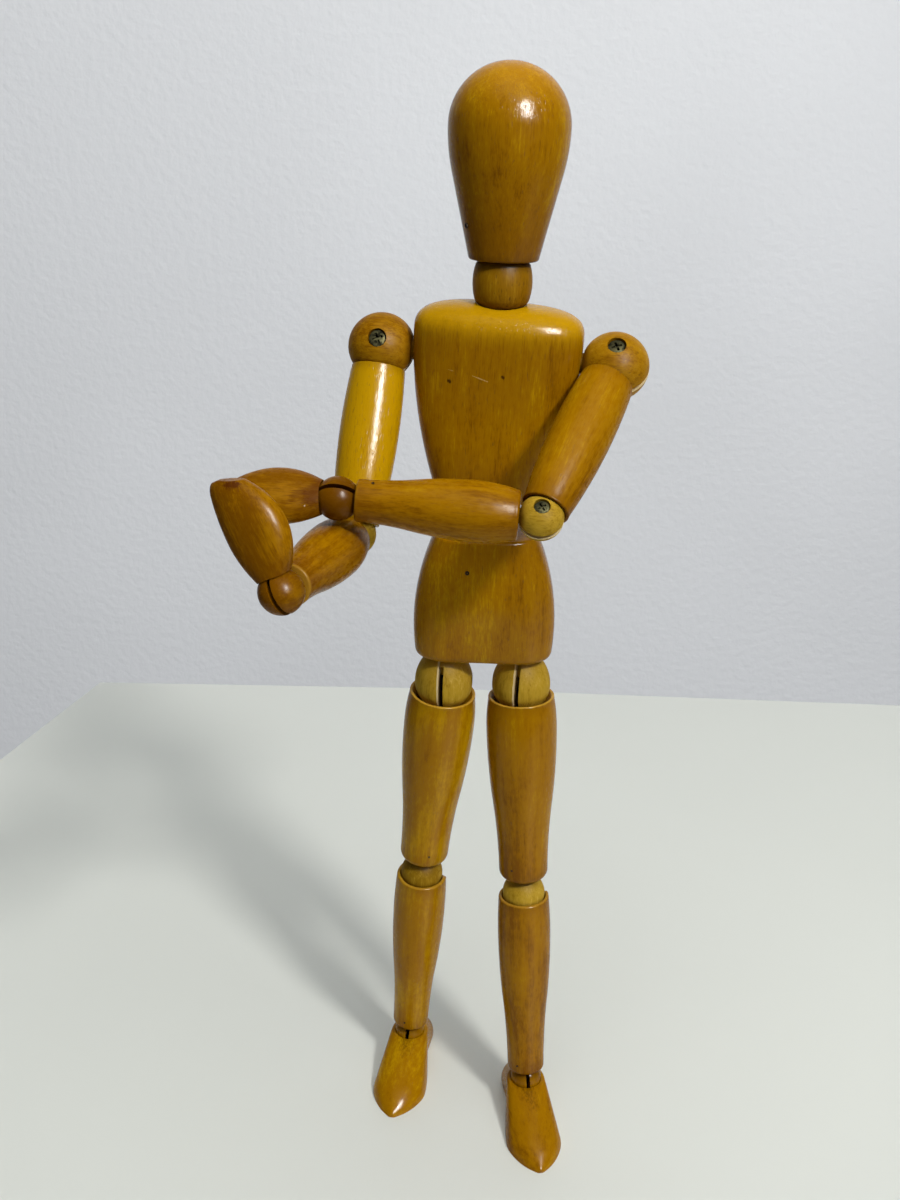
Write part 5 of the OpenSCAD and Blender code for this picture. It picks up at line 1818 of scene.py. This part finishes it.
@dataclass
class Arm:
    """One arm: slotted balls, turned upper arm and forearm, carved hand."""

    shop: Workshop
    side: Side
    brad_zs: Point2 = (-8.8, -39.1)
    brad_r: float = 0.35
    hand_l: float = 27.3
    hand_half_w: float = 7.3
    hand_half_t: float = 4.2
    hand_tip_half_w: float = 3.2
    hand_bow: float = 1.6
    hand_rim: float = 3.1
    hand_power: float = 2.2
    palm_at: float = 0.45
    wrist_narrowing: float = 0.5
    wrist_thinning: float = 0.1
    tip_thinning: float = 0.55
    tip_l: float = 2.6
    tip_fall: Point2 = (1.1, 1.2)
    tip_slope: float = 0.368
    tip_cut_at: float = 24.9
    shoulder: JointBall = JointBall(
        radius=8.4, flat=7.8, peg_r=2.6, peg_l=12.0, eye_r=3.0, head_r=2.05
    )
    elbow: JointBall = JointBall(
        radius=5.4, flat=4.8, peg_r=1.9, peg_l=8.0, eye_r=2.4, head_r=1.7
    )
    wrist: JointBall = JointBall(radius=5.2, flat=4.2, peg_r=1.9, peg_l=8.0, eye_r=1.9)
    upper_shape: LimbShape = LimbShape(
        top_z=-5.2, top_r=6.7, belly_r=7.4, low_z=-45.1, low_r=5.8, belly_at=0.4, hollow_at=0.95
    )
    fore_shape: LimbShape = LimbShape(
        top_z=-5.0, top_r=5.9, belly_r=7.2, low_z=-42.9, low_r=5.0, belly_at=0.26, hollow_at=0.55
    )

    def build(self) -> None:
        """Build the whole arm from the shoulder to the hand."""
        shop, label, sign = self.shop, self.side.label, self.side.value
        shoulder_place = shop.frames[f"{label}_shoulder"] @ basis((0, -1, 0), (-sign, 0, 0))
        elbow_place = shop.frames[f"{label}_elbow"] @ basis((sign, 0, 0), (0, 0, -1))
        for joint, shape, place, tone, spin in (
            ("shoulder", self.shoulder, shoulder_place, TAN_BALL, 20.0),
            ("elbow", self.elbow, elbow_place, BARE_BALL, 35.0),
        ):
            rim = Band(shape.flat, shape.flat - 1.6, END_BROWN, 0.6)
            shape.mount(f"{label}_{joint}_ball", shop, place, tone, rim, (shape.lip(-1),), spin)
        self._upper_arm()
        self._forearm()
        self._hand()
        for node in ("shoulder_tongue", "elbow_tongue", "wrist_hinge"):
            shop.dress(f"{label}_{node}", shop.steel)

    def _upper_arm(self) -> None:
        """Turn the upper arm with a cup at each end."""
        shop, name = self.shop, f"{self.side.label}_upper_arm"
        gap = shop.fits.cup_gap
        place = shop.frames[name]
        top = LimbEnd(bore_r=2.21, bore_z=-19.8, cup_r=self.shoulder.radius + gap, outer_edge=0.32)
        low = LimbEnd(
            bore_r=0.6, bore_z=-42.2, cup_z=-shop.skeleton.upper_arm_l,
            cup_r=self.elbow.radius + gap, outer_edge=0.33,
        )
        profile = limb_profile(self.upper_shape, top, low)
        bands = (
            Band(-5.6, -8.6, DARK_ENDS_AND_PAINTED_SHADE, 0.3), Band(-45.1, -38.0, DARK_ENDS_AND_PAINTED_SHADE, 0.45),
            Band(-45.4, -44.3, END_BROWN, 0.4),
        )
        tone = HONEY_LACQUER if self.side is Side.RIGHT else WORN_LACQUER
        material = shop.wood(name, tone, place, bands=bands)
        piece = shop.lathe.turn(f"turned_{name}", profile, material)
        shop.finish(piece, place, name, Slot.LACQUERED, name)

    def _forearm(self) -> None:
        """Turn the forearm and the wrist ball on its low end."""
        shop, name = self.shop, f"{self.side.label}_forearm"
        place, gap = shop.frames[name], shop.fits.running_gap
        top = LimbEnd(bore_r=self.elbow.peg_r + gap, bore_z=-13.2, outer_edge=0.8)
        low = LimbEnd(bore_r=self.wrist.peg_r + gap, bore_z=-34.7, outer_edge=0.6)
        profile = limb_profile(self.fore_shape, top, low)
        # Darker towards both ends; the pale ring at the low end is a painted highlight, stronger on the
        # right arm
        bands = (
            Band(-5.0, -8.5, DARK_ENDS_AND_PAINTED_SHADE, 0.4), Band(-42.9, -36.0, DARK_ENDS_AND_PAINTED_SHADE, 0.35),
            Band(-42.9, -41.9, PALE_EDGE_AND_PAINTED_HIGHLIGHT, 0.3 if self.side is Side.RIGHT else 0.1),
        )
        material = shop.wood(name, WORN_LACQUER, place, bands=bands)
        piece = shop.lathe.turn(f"turned_{name}", profile, material)
        shop.finish(piece, place, name, Slot.LACQUERED, name)
        side = shop.fits.brad_side(self.elbow.peg_r)
        places = []
        for z, face in zip(self.brad_zs, (self.side.value, -self.side.value)):
            skin_r = self.fore_shape.radius(z)
            out = Vector((-side, face * math.sqrt(skin_r ** 2 - side ** 2), 0))
            places.append((place @ (out + Vector((0, 0, z))), place.to_3x3() @ out.normalized()))
        shop.brads(f"{name}_brad_dots", places, name, f"{name}_brads", self.brad_r)
        wrist_place = place @ shift(0, 0, -shop.skeleton.forearm_l)
        ball_name = f"{self.side.label}_wrist_ball"
        bands = (Band(5.0, -9.0, END_BROWN, 0.6),)
        material = shop.wood(ball_name, WORN_LACQUER, wrist_place, bands=bands)
        piece = self.wrist.build(f"turned_{ball_name}", shop, material)
        shop.finish(piece, wrist_place, name, Slot.LACQUERED, ball_name)

    def _hand_half(self, t: float) -> tuple[float, float, float]:
        """Half width, half thickness and sideways bow of the hand.

        Args:
            t: Share of the way from the wrist to the tip.

        Returns:
            Half width, half thickness and bow there.
        """
        palm_at = self.palm_at
        if t < palm_at:
            early = ((palm_at - t) / palm_at) ** 2
            half_w = self.hand_half_w * (1 - self.wrist_narrowing * early)
            half_t = self.hand_half_t * (1 - self.wrist_thinning * early)
            return half_w, half_t, self.palm_set * (1 - early)
        late = ((t - palm_at) / (1 - palm_at)) ** 2
        tip = self.hand_tip_half_w / self.hand_half_w
        half_w = self.hand_half_w * (1 - (1 - tip) * late)
        set_by = self.palm_set + (self.hand_bow * self.side.value - self.palm_set) * late
        return half_w, self.hand_half_t * (1 - self.tip_thinning * late), set_by

    @property
    def palm_set(self) -> float:
        """Sideways set of the palm in millimetres."""
        return 1.0 if self.side is Side.RIGHT else 0.2

    def _hand(self) -> None:
        """Carve the hand with a rounded tip and the cup of the wrist."""
        shop, name = self.shop, f"{self.side.label}_hand"
        place = shop.frames[name]
        rings, steps = [], 72
        length = self.hand_l - self.hand_rim
        tip = self.tip_l / length
        for i in range(steps + 1):
            t = math.sin(math.pi / 2 * i / steps)
            half_w, half_t, bow = self._hand_half(t)
            rest = max(0.0, (t - 1 + tip) / tip)
            share = math.sqrt(max(0.0, 1 - rest ** 2))
            half_w = half_w - self.tip_fall[0] * (1 - share)
            half_t = half_t - self.tip_fall[1] * (1 - share)
            z = -self.hand_rim - t * length
            outline = superellipse(half_w, half_t, self.hand_power, 112)
            rings.append([(x + bow, y, z) for x, y in outline])
        piece = loft(f"carved_{name}", rings)
        smooth(piece)
        cutters = [ball("wrist_cup", self.wrist.radius + shop.fits.cup_gap)]
        if self.side is Side.RIGHT:
            cutters.append(self._tip_cut())
        carve(piece, cutters)
        bands = (Band(-5.0, -9.0, DARK_ENDS_AND_PAINTED_SHADE, 0.4), Band(-27.3, -22.0, DARK_ENDS_AND_PAINTED_SHADE, 0.4))
        worn = srgb(84, 40, 6)
        if self.side is Side.RIGHT:
            stains = (Stain((0.4, 2.5, -25.8), (2.6, 2.2, -25.0), 1.2, worn, 0.9, 0.8),)
        else:
            stains = (
                Stain((-1.0, -3.6, -3.2), (2.6, -3.8, -5.6), 3.0, worn, 0.6, 0.9),
                Stain((1.0, -3.8, -8.0), (3.2, -3.6, -9.6), 1.6, worn, 0.35, 1.0),
                Stain((4.4, -3.0, -6.6), (4.5, -2.9, -6.7), 0.26, srgb(236, 222, 190), 0.9, 0.5),
            )
        material = shop.wood(name, WORN_LACQUER, place, bands=bands, stains=stains)
        shop.finish(piece, place, name, Slot.LACQUERED, name, material=material)

    def _tip_cut(self) -> bpy.types.Object:
        """Solid that blunts the tip of the hand at a slant.

        Returns:
            The cutter.
        """
        slant, far = math.atan(self.tip_slope), 20
        across = (math.cos(slant), 0.0, math.sin(slant))
        out = (math.sin(slant), 0.0, -math.cos(slant))
        cutter = block("tip_cut", (-far, -far, 0), (far, far, far))
        cutter.data.transform(basis(across, out) @ shift(0, 0, self.tip_cut_at))
        smooth(cutter)
        return cutter


@dataclass
class Leg:
    """One leg: slotted balls, turned thigh and shin, shaped foot."""

    shop: Workshop
    side: Side
    thigh_brad_z: float = -55.0
    shin_brad_z: float = -57.3
    brad_r: float = 0.3
    toe_l: float = 27.2
    toe_wide_at: float = 0.6
    toe_powers: Point2 = (1.5, 1.4)
    toe_least: Point2 = (0.8, 1.2)
    heel_l: float = 14.2
    instep_half_w: float = 5.2
    foot_half_w: float = 8.2
    heel_half_w: float = 6.0
    toe_h: float = 6.6
    heel_h: float = 8.4
    heel_bed: float = 2.5
    foot_rim: float = 0.5
    collar_t: float = 0.9
    foot_voxel: float = 0.28
    foot_flow: float = 0.5
    foot_flow_rounds: int = 14
    relief_start: float = 2.0
    relief_end: float = 12.0
    relief_fall: float = 0.158
    ankle_gap: float = 0.12
    hip: JointBall = JointBall(
        radius=8.0, flat=9.0, peg_r=2.6, peg_l=13.0, eye_r=3.0, barrel_r=11.6, head_r=2.05,
        slot_stop=1.9, slot_w=1.35,
    )
    knee: JointBall = JointBall(
        radius=6.1, flat=5.6, peg_r=2.1, peg_l=10.0, eye_r=2.4, head_r=1.7, front_wall=1.91,
        screw_side=-1,
    )
    ankle: JointBall = JointBall(radius=4.6, flat=3.9, peg_r=1.6, peg_l=7.0, eye_r=1.9)
    thigh_shape: LimbShape = LimbShape(
        top_z=-3.3, top_r=9.1, belly_r=9.8, low_z=-59.8, low_r=7.0, belly_at=0.16, hollow_at=0.5
    )
    shin_shape: LimbShape = LimbShape(
        top_z=-0.8, top_r=7.3, belly_r=7.7, low_z=-60.6, low_r=5.5, belly_at=0.2, hollow_at=0.5
    )

    @property
    def ankle_h(self) -> float:
        """Height of the ankle above the sole."""
        return self.shop.skeleton.ankle_h

    def build(self) -> None:
        """Build the whole leg from the hip to the foot."""
        shop, label, sign = self.shop, self.side.label, self.side.value
        hip_place = shop.frames[f"{label}_hip"] @ basis((-sign, 0, 0), (0, 0, 1))
        for joint, shape, place, lips, spin in (
            ("hip", self.hip, hip_place, (self.hip.lip(sign),), 10.0),
            ("knee", self.knee, shop.frames[f"{label}_knee"], (), 40.0),
        ):
            rim = Band(shape.flat, shape.flat - 2.5, BALL_RIM, 0.45)
            shape.mount(f"{label}_{joint}_ball", shop, place, BARE_BALL, rim, lips, spin)
        self._thigh()
        self._shin()
        self._ankle()
        self._foot()
        for node in ("hip_tongue", "knee_tongue", "ankle_hinge"):
            shop.dress(f"{label}_{node}", shop.steel)

    def _brad(self, name: str, place: Matrix, shape: LimbShape, peg_r: float, z: float) -> None:
        """Brad dot in the front of a limb.

        Args:
            name: Body of the limb.
            place: Frame of the limb.
            shape: Outline of the limb.
            peg_r: Radius of the peg that the brad holds.
            z: Height in the limb's frame.
        """
        side = -self.side.value * self.shop.fits.brad_side(peg_r)
        out = Vector((side, -math.sqrt(shape.radius(z) ** 2 - side ** 2), 0))
        spot = (place @ (out + Vector((0, 0, z))), place.to_3x3() @ out.normalized())
        self.shop.brads(f"{name}_brad_dot", [spot], name, f"{name}_brad", self.brad_r)

    def _thigh(self) -> None:
        """Turn the thigh with its flared cup."""
        shop, name = self.shop, f"{self.side.label}_thigh"
        place, fits = shop.frames[name], shop.fits
        cup_r = self.hip.radius + fits.cup_gap
        top = LimbEnd(bore_r=0.6, bore_z=-9.5, cup_r=cup_r, flare_r=8.4, outer_edge=0.33)
        low = LimbEnd(bore_r=self.knee.peg_r + fits.running_gap, bore_z=-49.6, outer_edge=2.6)
        profile = limb_profile(self.thigh_shape, top, low, 84)
        bands = (
            Band(-3.4, -7.0, DARK_ENDS_AND_PAINTED_SHADE, 0.25), Band(-59.8, -52.0, DARK_ENDS_AND_PAINTED_SHADE, 0.4),
            Band(-3.3, -3.75, PALE_EDGE_AND_PAINTED_HIGHLIGHT, 0.6),
            Band(-59.8, -58.2, END_BROWN, 0.5),
        )
        material = shop.wood(name, LEG_LACQUER, place, bands=bands)
        piece = shop.lathe.turn(f"turned_{name}", profile, material)
        shop.finish(piece, place, name, Slot.LACQUERED, name)
        self._brad(name, place, self.thigh_shape, self.knee.peg_r, self.thigh_brad_z)

    def _shin(self) -> None:
        """Turn the shin and cut the relief behind the knee."""
        shop, name = self.shop, f"{self.side.label}_shin"
        place, fits = shop.frames[name], shop.fits
        cup_r = self.knee.radius + fits.cup_gap
        top = LimbEnd(bore_r=0.6, bore_z=-8.0, cup_r=cup_r, outer_edge=0.7)
        low = LimbEnd(bore_r=self.ankle.peg_r + fits.running_gap, bore_z=-53.4, outer_edge=1.1)
        profile = limb_profile(self.shin_shape, top, low, 84)
        # The pale band at the top rim is a painted highlight
        bands = (
            Band(-0.8, -4.5, DARK_ENDS_AND_PAINTED_SHADE, 0.3), Band(-60.3, -54.0, DARK_ENDS_AND_PAINTED_SHADE, 0.4),
            Band(-0.8, -1.3, PALE_EDGE_AND_PAINTED_HIGHLIGHT, 0.35),
            Band(-60.3, -59.4, END_BROWN, 0.5),
        )
        material = shop.wood(name, LEG_LACQUER, place, bands=bands)
        piece = shop.lathe.turn(f"turned_{name}", profile, material)
        smooth(piece)
        carve(piece, [self._relief()])
        shop.finish(piece, place, name, Slot.LACQUERED, name)
        self._brad(name, place, self.shin_shape, self.ankle.peg_r, self.shin_brad_z)

    def _relief(self) -> bpy.types.Object:
        """Solid that clears the back of the shin's rim, with a foot that falls off backwards in a curve.

        Returns:
            The cutter.
        """
        rim_z, steps, above, beside = self.shin_shape.top_z, 24, 10, 30
        outline = [(self.relief_end, rim_z + above), (self.relief_start, rim_z + above)]
        for i in range(steps + 1):
            back = (self.relief_end - self.relief_start) * i / steps
            outline.append((self.relief_start + back, rim_z - self.relief_fall * back ** 2))
        cutter = loft("knee_relief", [[(x, y, z) for y, z in outline] for x in (-beside, beside)])
        smooth(cutter)
        return cutter

    def _ankle(self) -> None:
        """Turn the ankle ball."""
        shop, name = self.shop, f"{self.side.label}_ankle_ball"
        place = shop.frames[f"{self.side.label}_ankle"]
        material = shop.wood(name, LEG_LACQUER, place, bands=(Band(4.4, -1.0, END_BROWN, 0.5),))
        piece = self.ankle.build(f"turned_{name}", shop, material)
        shop.finish(piece, place, name, Slot.LACQUERED, name)

    def _foot(self) -> None:
        """Shape the foot from a toe part and a heel part around the ankle's collar."""
        shop, name = self.shop, f"{self.side.label}_foot"
        place = shop.frames[name]
        toe = self._foot_part("toe_part", self._toe_points())
        heel = self._foot_part("heel_part", self._heel_points())
        joined = toe.modifiers.new("heel", "BOOLEAN")
        joined.operation = "UNION"
        joined.solver = "EXACT"
        joined.object = heel
        remesh = toe.modifiers.new("even_faces", "REMESH")
        remesh.mode = "VOXEL"
        remesh.voxel_size = self.foot_voxel
        flow = toe.modifiers.new("flow", "SMOOTH")
        flow.factor = self.foot_flow
        flow.iterations = self.foot_flow_rounds
        settle(toe)
        heel_mesh = heel.data
        bpy.data.objects.remove(heel)
        bpy.data.meshes.remove(heel_mesh)
        toe.name = f"shaped_{name}"
        smooth(toe)
        carve(toe, [
            block("below_sole", (-40, -60, -2 * self.ankle_h), (40, 60, -self.ankle_h)),
            ball("ankle_cup", self.ankle.radius + self.ankle_gap),
        ])
        stains = (
            Stain((0.0, -2.0, 5.0), (0.4, -4.5, 9.0), 3.0, END_BROWN, 0.5, 0.9),
            Stain((-1.0, -4.0, 8.0), (-0.6, -5.5, 13.0), 1.2, END_BROWN, 0.4, 1.0),
            Stain((1.8, -4.0, 8.0), (2.4, -5.5, 12.0), 0.9, END_BROWN, 0.35, 1.0),
        )
        material = shop.wood(name, LEG_LACQUER, place @ turn("X", 90), stains=stains)
        shop.finish(toe, place, name, Slot.LACQUERED, name, material=material)

    def _toe_points(self) -> list[Point3]:
        """Upright half ovals along the toe part, which is a leaf in plan.

        Returns:
            The points of all ovals.
        """
        points = []
        wide_at, growth = self.toe_wide_at, self.foot_half_w - self.instep_half_w
        for j in range(1, 41):
            t = j / 40
            if t < wide_at:
                half_w = self.foot_half_w - growth * ((wide_at - t) / wide_at) ** 2
                top = self.toe_h
            else:
                run = (t - wide_at) / (1 - wide_at)
                width, height = (rounded_share(run, power) for power in self.toe_powers)
                half_w = max(self.toe_least[0], self.foot_half_w * width)
                top = max(self.toe_least[1], self.toe_h * height)
            y = -t * self.toe_l
            for i in range(49):
                angle = math.pi * i / 48
                points.append((half_w * math.cos(angle), y, top * math.sin(angle) - self.ankle_h))
            points += [(x, y, -self.ankle_h - 1) for x in (-half_w, half_w)]
        return points

    def _heel_points(self) -> list[Point3]:
        """Egg shape of the heel part.

        Returns:
            The points of the egg.
        """
        points = []
        for j in range(1, 36):
            lift = math.pi * j / 36 - math.pi / 2
            for i in range(72):
                angle = 2 * math.pi * i / 72
                points.append((
                    self.heel_half_w * math.cos(lift) * math.cos(angle),
                    self.heel_l - self.heel_half_w + self.heel_half_w * math.cos(lift) * math.sin(angle),
                    self.heel_bed - self.ankle_h + (self.heel_h - self.heel_bed) * math.sin(lift),
                ))
        return points

    def _foot_part(self, name: str, points: Sequence[Point3]) -> bpy.types.Object:
        """Hull around the ankle's collar and some points, reaching a little below the sole.

        Args:
            name: Name of the object.
            points: Points of the toe part or the heel part.

        Returns:
            The new object.
        """
        cage = bmesh.new()
        collar_r = self.ankle.radius + self.shop.fits.cup_gap + self.collar_t
        for z, r in (
            (-self.foot_rim, collar_r - 0.35), (-self.foot_rim - 0.15, collar_r - 0.1),
            (-self.foot_rim - 0.5, collar_r), (-self.foot_rim - 0.7, collar_r),
            (-self.ankle_h / 2, collar_r - 0.7), (-self.ankle_h - 0.8, collar_r - 0.7),
        ):
            for i in range(72):
                angle = 2 * math.pi * i / 72
                cage.verts.new((r * math.cos(angle), r * math.sin(angle), z))
        for point in points:
            cage.verts.new(point)
        hull = bmesh.ops.convex_hull(cage, input=cage.verts)
        spare = {item for item in hull["geom_interior"] if isinstance(item, bmesh.types.BMVert)}
        spare |= {item for item in hull["geom_unused"] if isinstance(item, bmesh.types.BMVert)}
        bmesh.ops.delete(cage, geom=list(spare), context="VERTS")
        mesh = bpy.data.meshes.new(name)
        cage.to_mesh(mesh)
        cage.free()
        return mesh_object(name, mesh)


# Studio


@dataclass
class Studio:
    """Pale table top, pale wall, soft lights and the camera at the photograph's angle."""

    eye: Point3 = (-8.92, -318.74, 316.75)
    heading: float = 2.918
    tilt: float = -24.599
    roll: float = -0.75
    focal_px: float = 1357.98
    image_h: float = 1200.0
    sensor_h: float = 24.0
    aim: Point3 = (-0.01, 0.0, 0.15)
    key_way: Point3 = (0.45, -0.54, 0.71)
    key_far: float = 1.2
    key_power: float = 8.6
    glint_way: Point3 = (0.45, -0.62, 0.62)
    glint_power: float = 70.0
    soft_at: Point3 = (0.05, -0.25, 1.4)
    soft_power: float = 10.4
    wash_at: Point3 = (0.0, 0.55, 0.0)
    wash_aim: Point3 = (0.0, 0.9, 0.0)
    wash_power: float = 4.7
    world_strength: float = 0.1
    floor_z: float = -0.03
    table_t: float = 18.0
    table_corners: Sequence[Point2] = (
        (-233, 186), (-210, 261), (-38.5, 268), (600, 268), (600, -320), (-385, -320),
    )

    def build(self) -> None:
        """Make the camera, the lights and the surroundings."""
        bpy.context.scene.view_settings.view_transform = "Standard"
        self._camera()
        self._lights()
        self._surroundings()

    def _camera(self) -> None:
        """Camera at the photograph's viewing angle."""
        data = bpy.data.cameras.new("photo_view")
        data.sensor_fit = "VERTICAL"
        data.sensor_height = self.sensor_h
        data.lens = self.focal_px / self.image_h * self.sensor_h
        data.clip_start = 0.01
        camera = bpy.data.objects.new("photo_view", data)
        bpy.context.scene.collection.objects.link(camera)
        way = turn("Z", self.heading) @ turn("X", self.tilt) @ turn("Y", self.roll)
        camera.matrix_world = shift(*(MM * part for part in self.eye)) @ way @ turn("X", 90)
        bpy.context.scene.camera = camera

    def _lights(self) -> None:
        """Key light and glint from the front right, soft box overhead, wash on the wall and dim room."""
        middle = Vector(self.aim)
        key_at = middle + Vector(self.key_way).normalized() * self.key_far
        self._area("key", (0.17, 0.17), self.key_power, key_at, middle, (1.0, 0.97, 0.92))
        glint_at = middle + Vector(self.glint_way).normalized() * self.key_far
        glint = self._area("glint", (0.22, 0.5), self.glint_power, glint_at, middle, (1.0, 0.99, 0.96))
        glint.visible_diffuse = False
        soft_at = Vector(self.soft_at)
        soft = self._area("soft_box", (1.1, 1.1), self.soft_power, soft_at, middle, (1.0, 1.0, 0.98))
        soft.visible_glossy = False
        wash_at, wash_aim = Vector(self.wash_at), Vector(self.wash_aim)
        self._area("wall_wash", (2.4, 1.6), self.wash_power, wash_at, wash_aim, (0.97, 0.99, 1.0))
        world = bpy.data.worlds.new("dim_room")
        bpy.context.scene.world = world
        world.use_nodes = True
        world.node_tree.nodes.clear()
        graph = Graph(world.node_tree)
        sky = graph.add(
            "ShaderNodeBackground",
            sockets={"Color": (0.95, 0.98, 1.0, 1.0), "Strength": self.world_strength},
        )
        graph.add("ShaderNodeOutputWorld", sockets={"Surface": sky})

    @staticmethod
    def _area(
        name: str, size: Point2, power: float, at: Vector, target: Vector, colour: Point3
    ) -> bpy.types.Object:
        """One soft light.

        Args:
            name: Name of the light.
            size: Width and height in metres.
            power: Power in watts.
            at: Place of the light in metres.
            target: Point that it faces.
            colour: Colour of its light.

        Returns:
            The light.
        """
        data = bpy.data.lights.new(name, "AREA")
        data.shape = "DISK" if size[0] == size[1] else "RECTANGLE"
        data.size = size[0]
        data.size_y = size[1]
        data.energy = power
        data.color = colour
        light = bpy.data.objects.new(name, data)
        bpy.context.scene.collection.objects.link(light)
        aim = (at - target).to_track_quat("Z", "Y").to_matrix().to_4x4()
        light.matrix_world = Matrix.Translation(at) @ aim
        return light

    def _surroundings(self) -> None:
        """Table top with a cut corner, and a wall behind and below it."""
        table = loft("table_top", [
            [(x, y, z) for x, y in self.table_corners]
            for z in (self.floor_z - self.table_t, self.floor_z)
        ])
        table.data.transform(Matrix.Scale(MM, 4))
        table.data.materials.append(self._plain("table_white", srgb(218, 222, 217), 0.45, 0.0))
        wall = block("wall", (-1500, 900, -900), (1500, 905, 1500))
        wall.data.transform(Matrix.Scale(MM, 4))
        wall.data.materials.append(self._plain("wall_white", srgb(228, 230, 234), 0.8, 0.5))

    @staticmethod
    def _plain(name: str, colour: Colour, roughness: float, lumps: float) -> bpy.types.Material:
        """Pale paint with slight unevenness.

        Args:
            name: Name of the material.
            colour: Main colour.
            roughness: Roughness of the paint.
            lumps: Strength of the lumps of the plaster under it.

        Returns:
            The material.
        """
        material, graph = new_material(name)
        where = graph.add("ShaderNodeTexCoord", out="Object")
        cloud = graph.add("ShaderNodeTexNoise", sockets={"Vector": where, "Scale": 3.0, "Detail": 2.0})
        dimmer = tuple(part * 0.96 for part in colour[:3]) + (1.0,)
        tint = graph.mix(cloud.step(0.35, 0.65), colour, dimmer)
        lump = graph.add("ShaderNodeTexNoise", sockets={"Vector": where, "Scale": 130.0, "Detail": 3.0})
        normal = graph.add(
            "ShaderNodeBump", sockets={"Strength": lumps, "Distance": 0.002, "Height": lump}
        )
        shader = graph.add(
            "ShaderNodeBsdfPrincipled",
            sockets={"Base Color": tint, "Roughness": roughness, "Normal": normal},
        )
        graph.add("ShaderNodeOutputMaterial", sockets={"Surface": shader})
        return material


def main() -> None:
    """Build the figure around its frame, and the studio."""
    logging.basicConfig(level=logging.INFO, format="%(name)s: %(message)s")
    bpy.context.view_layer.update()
    Studio().build()
    skeleton = Skeleton()
    shop = Workshop(
        skeleton, skeleton.frames(), Lathe(), ScrewSetter(), Fits(),
        SCREW_METAL.material(), TONGUE_STEEL.material(), BRAD_STEEL.material(),
    )
    HeadAndNeck(shop).build()
    Trunk(shop).build()
    for side in Side:
        Arm(shop, side).build()
        Leg(shop, side).build()


if __name__ == "__main__":
    main()
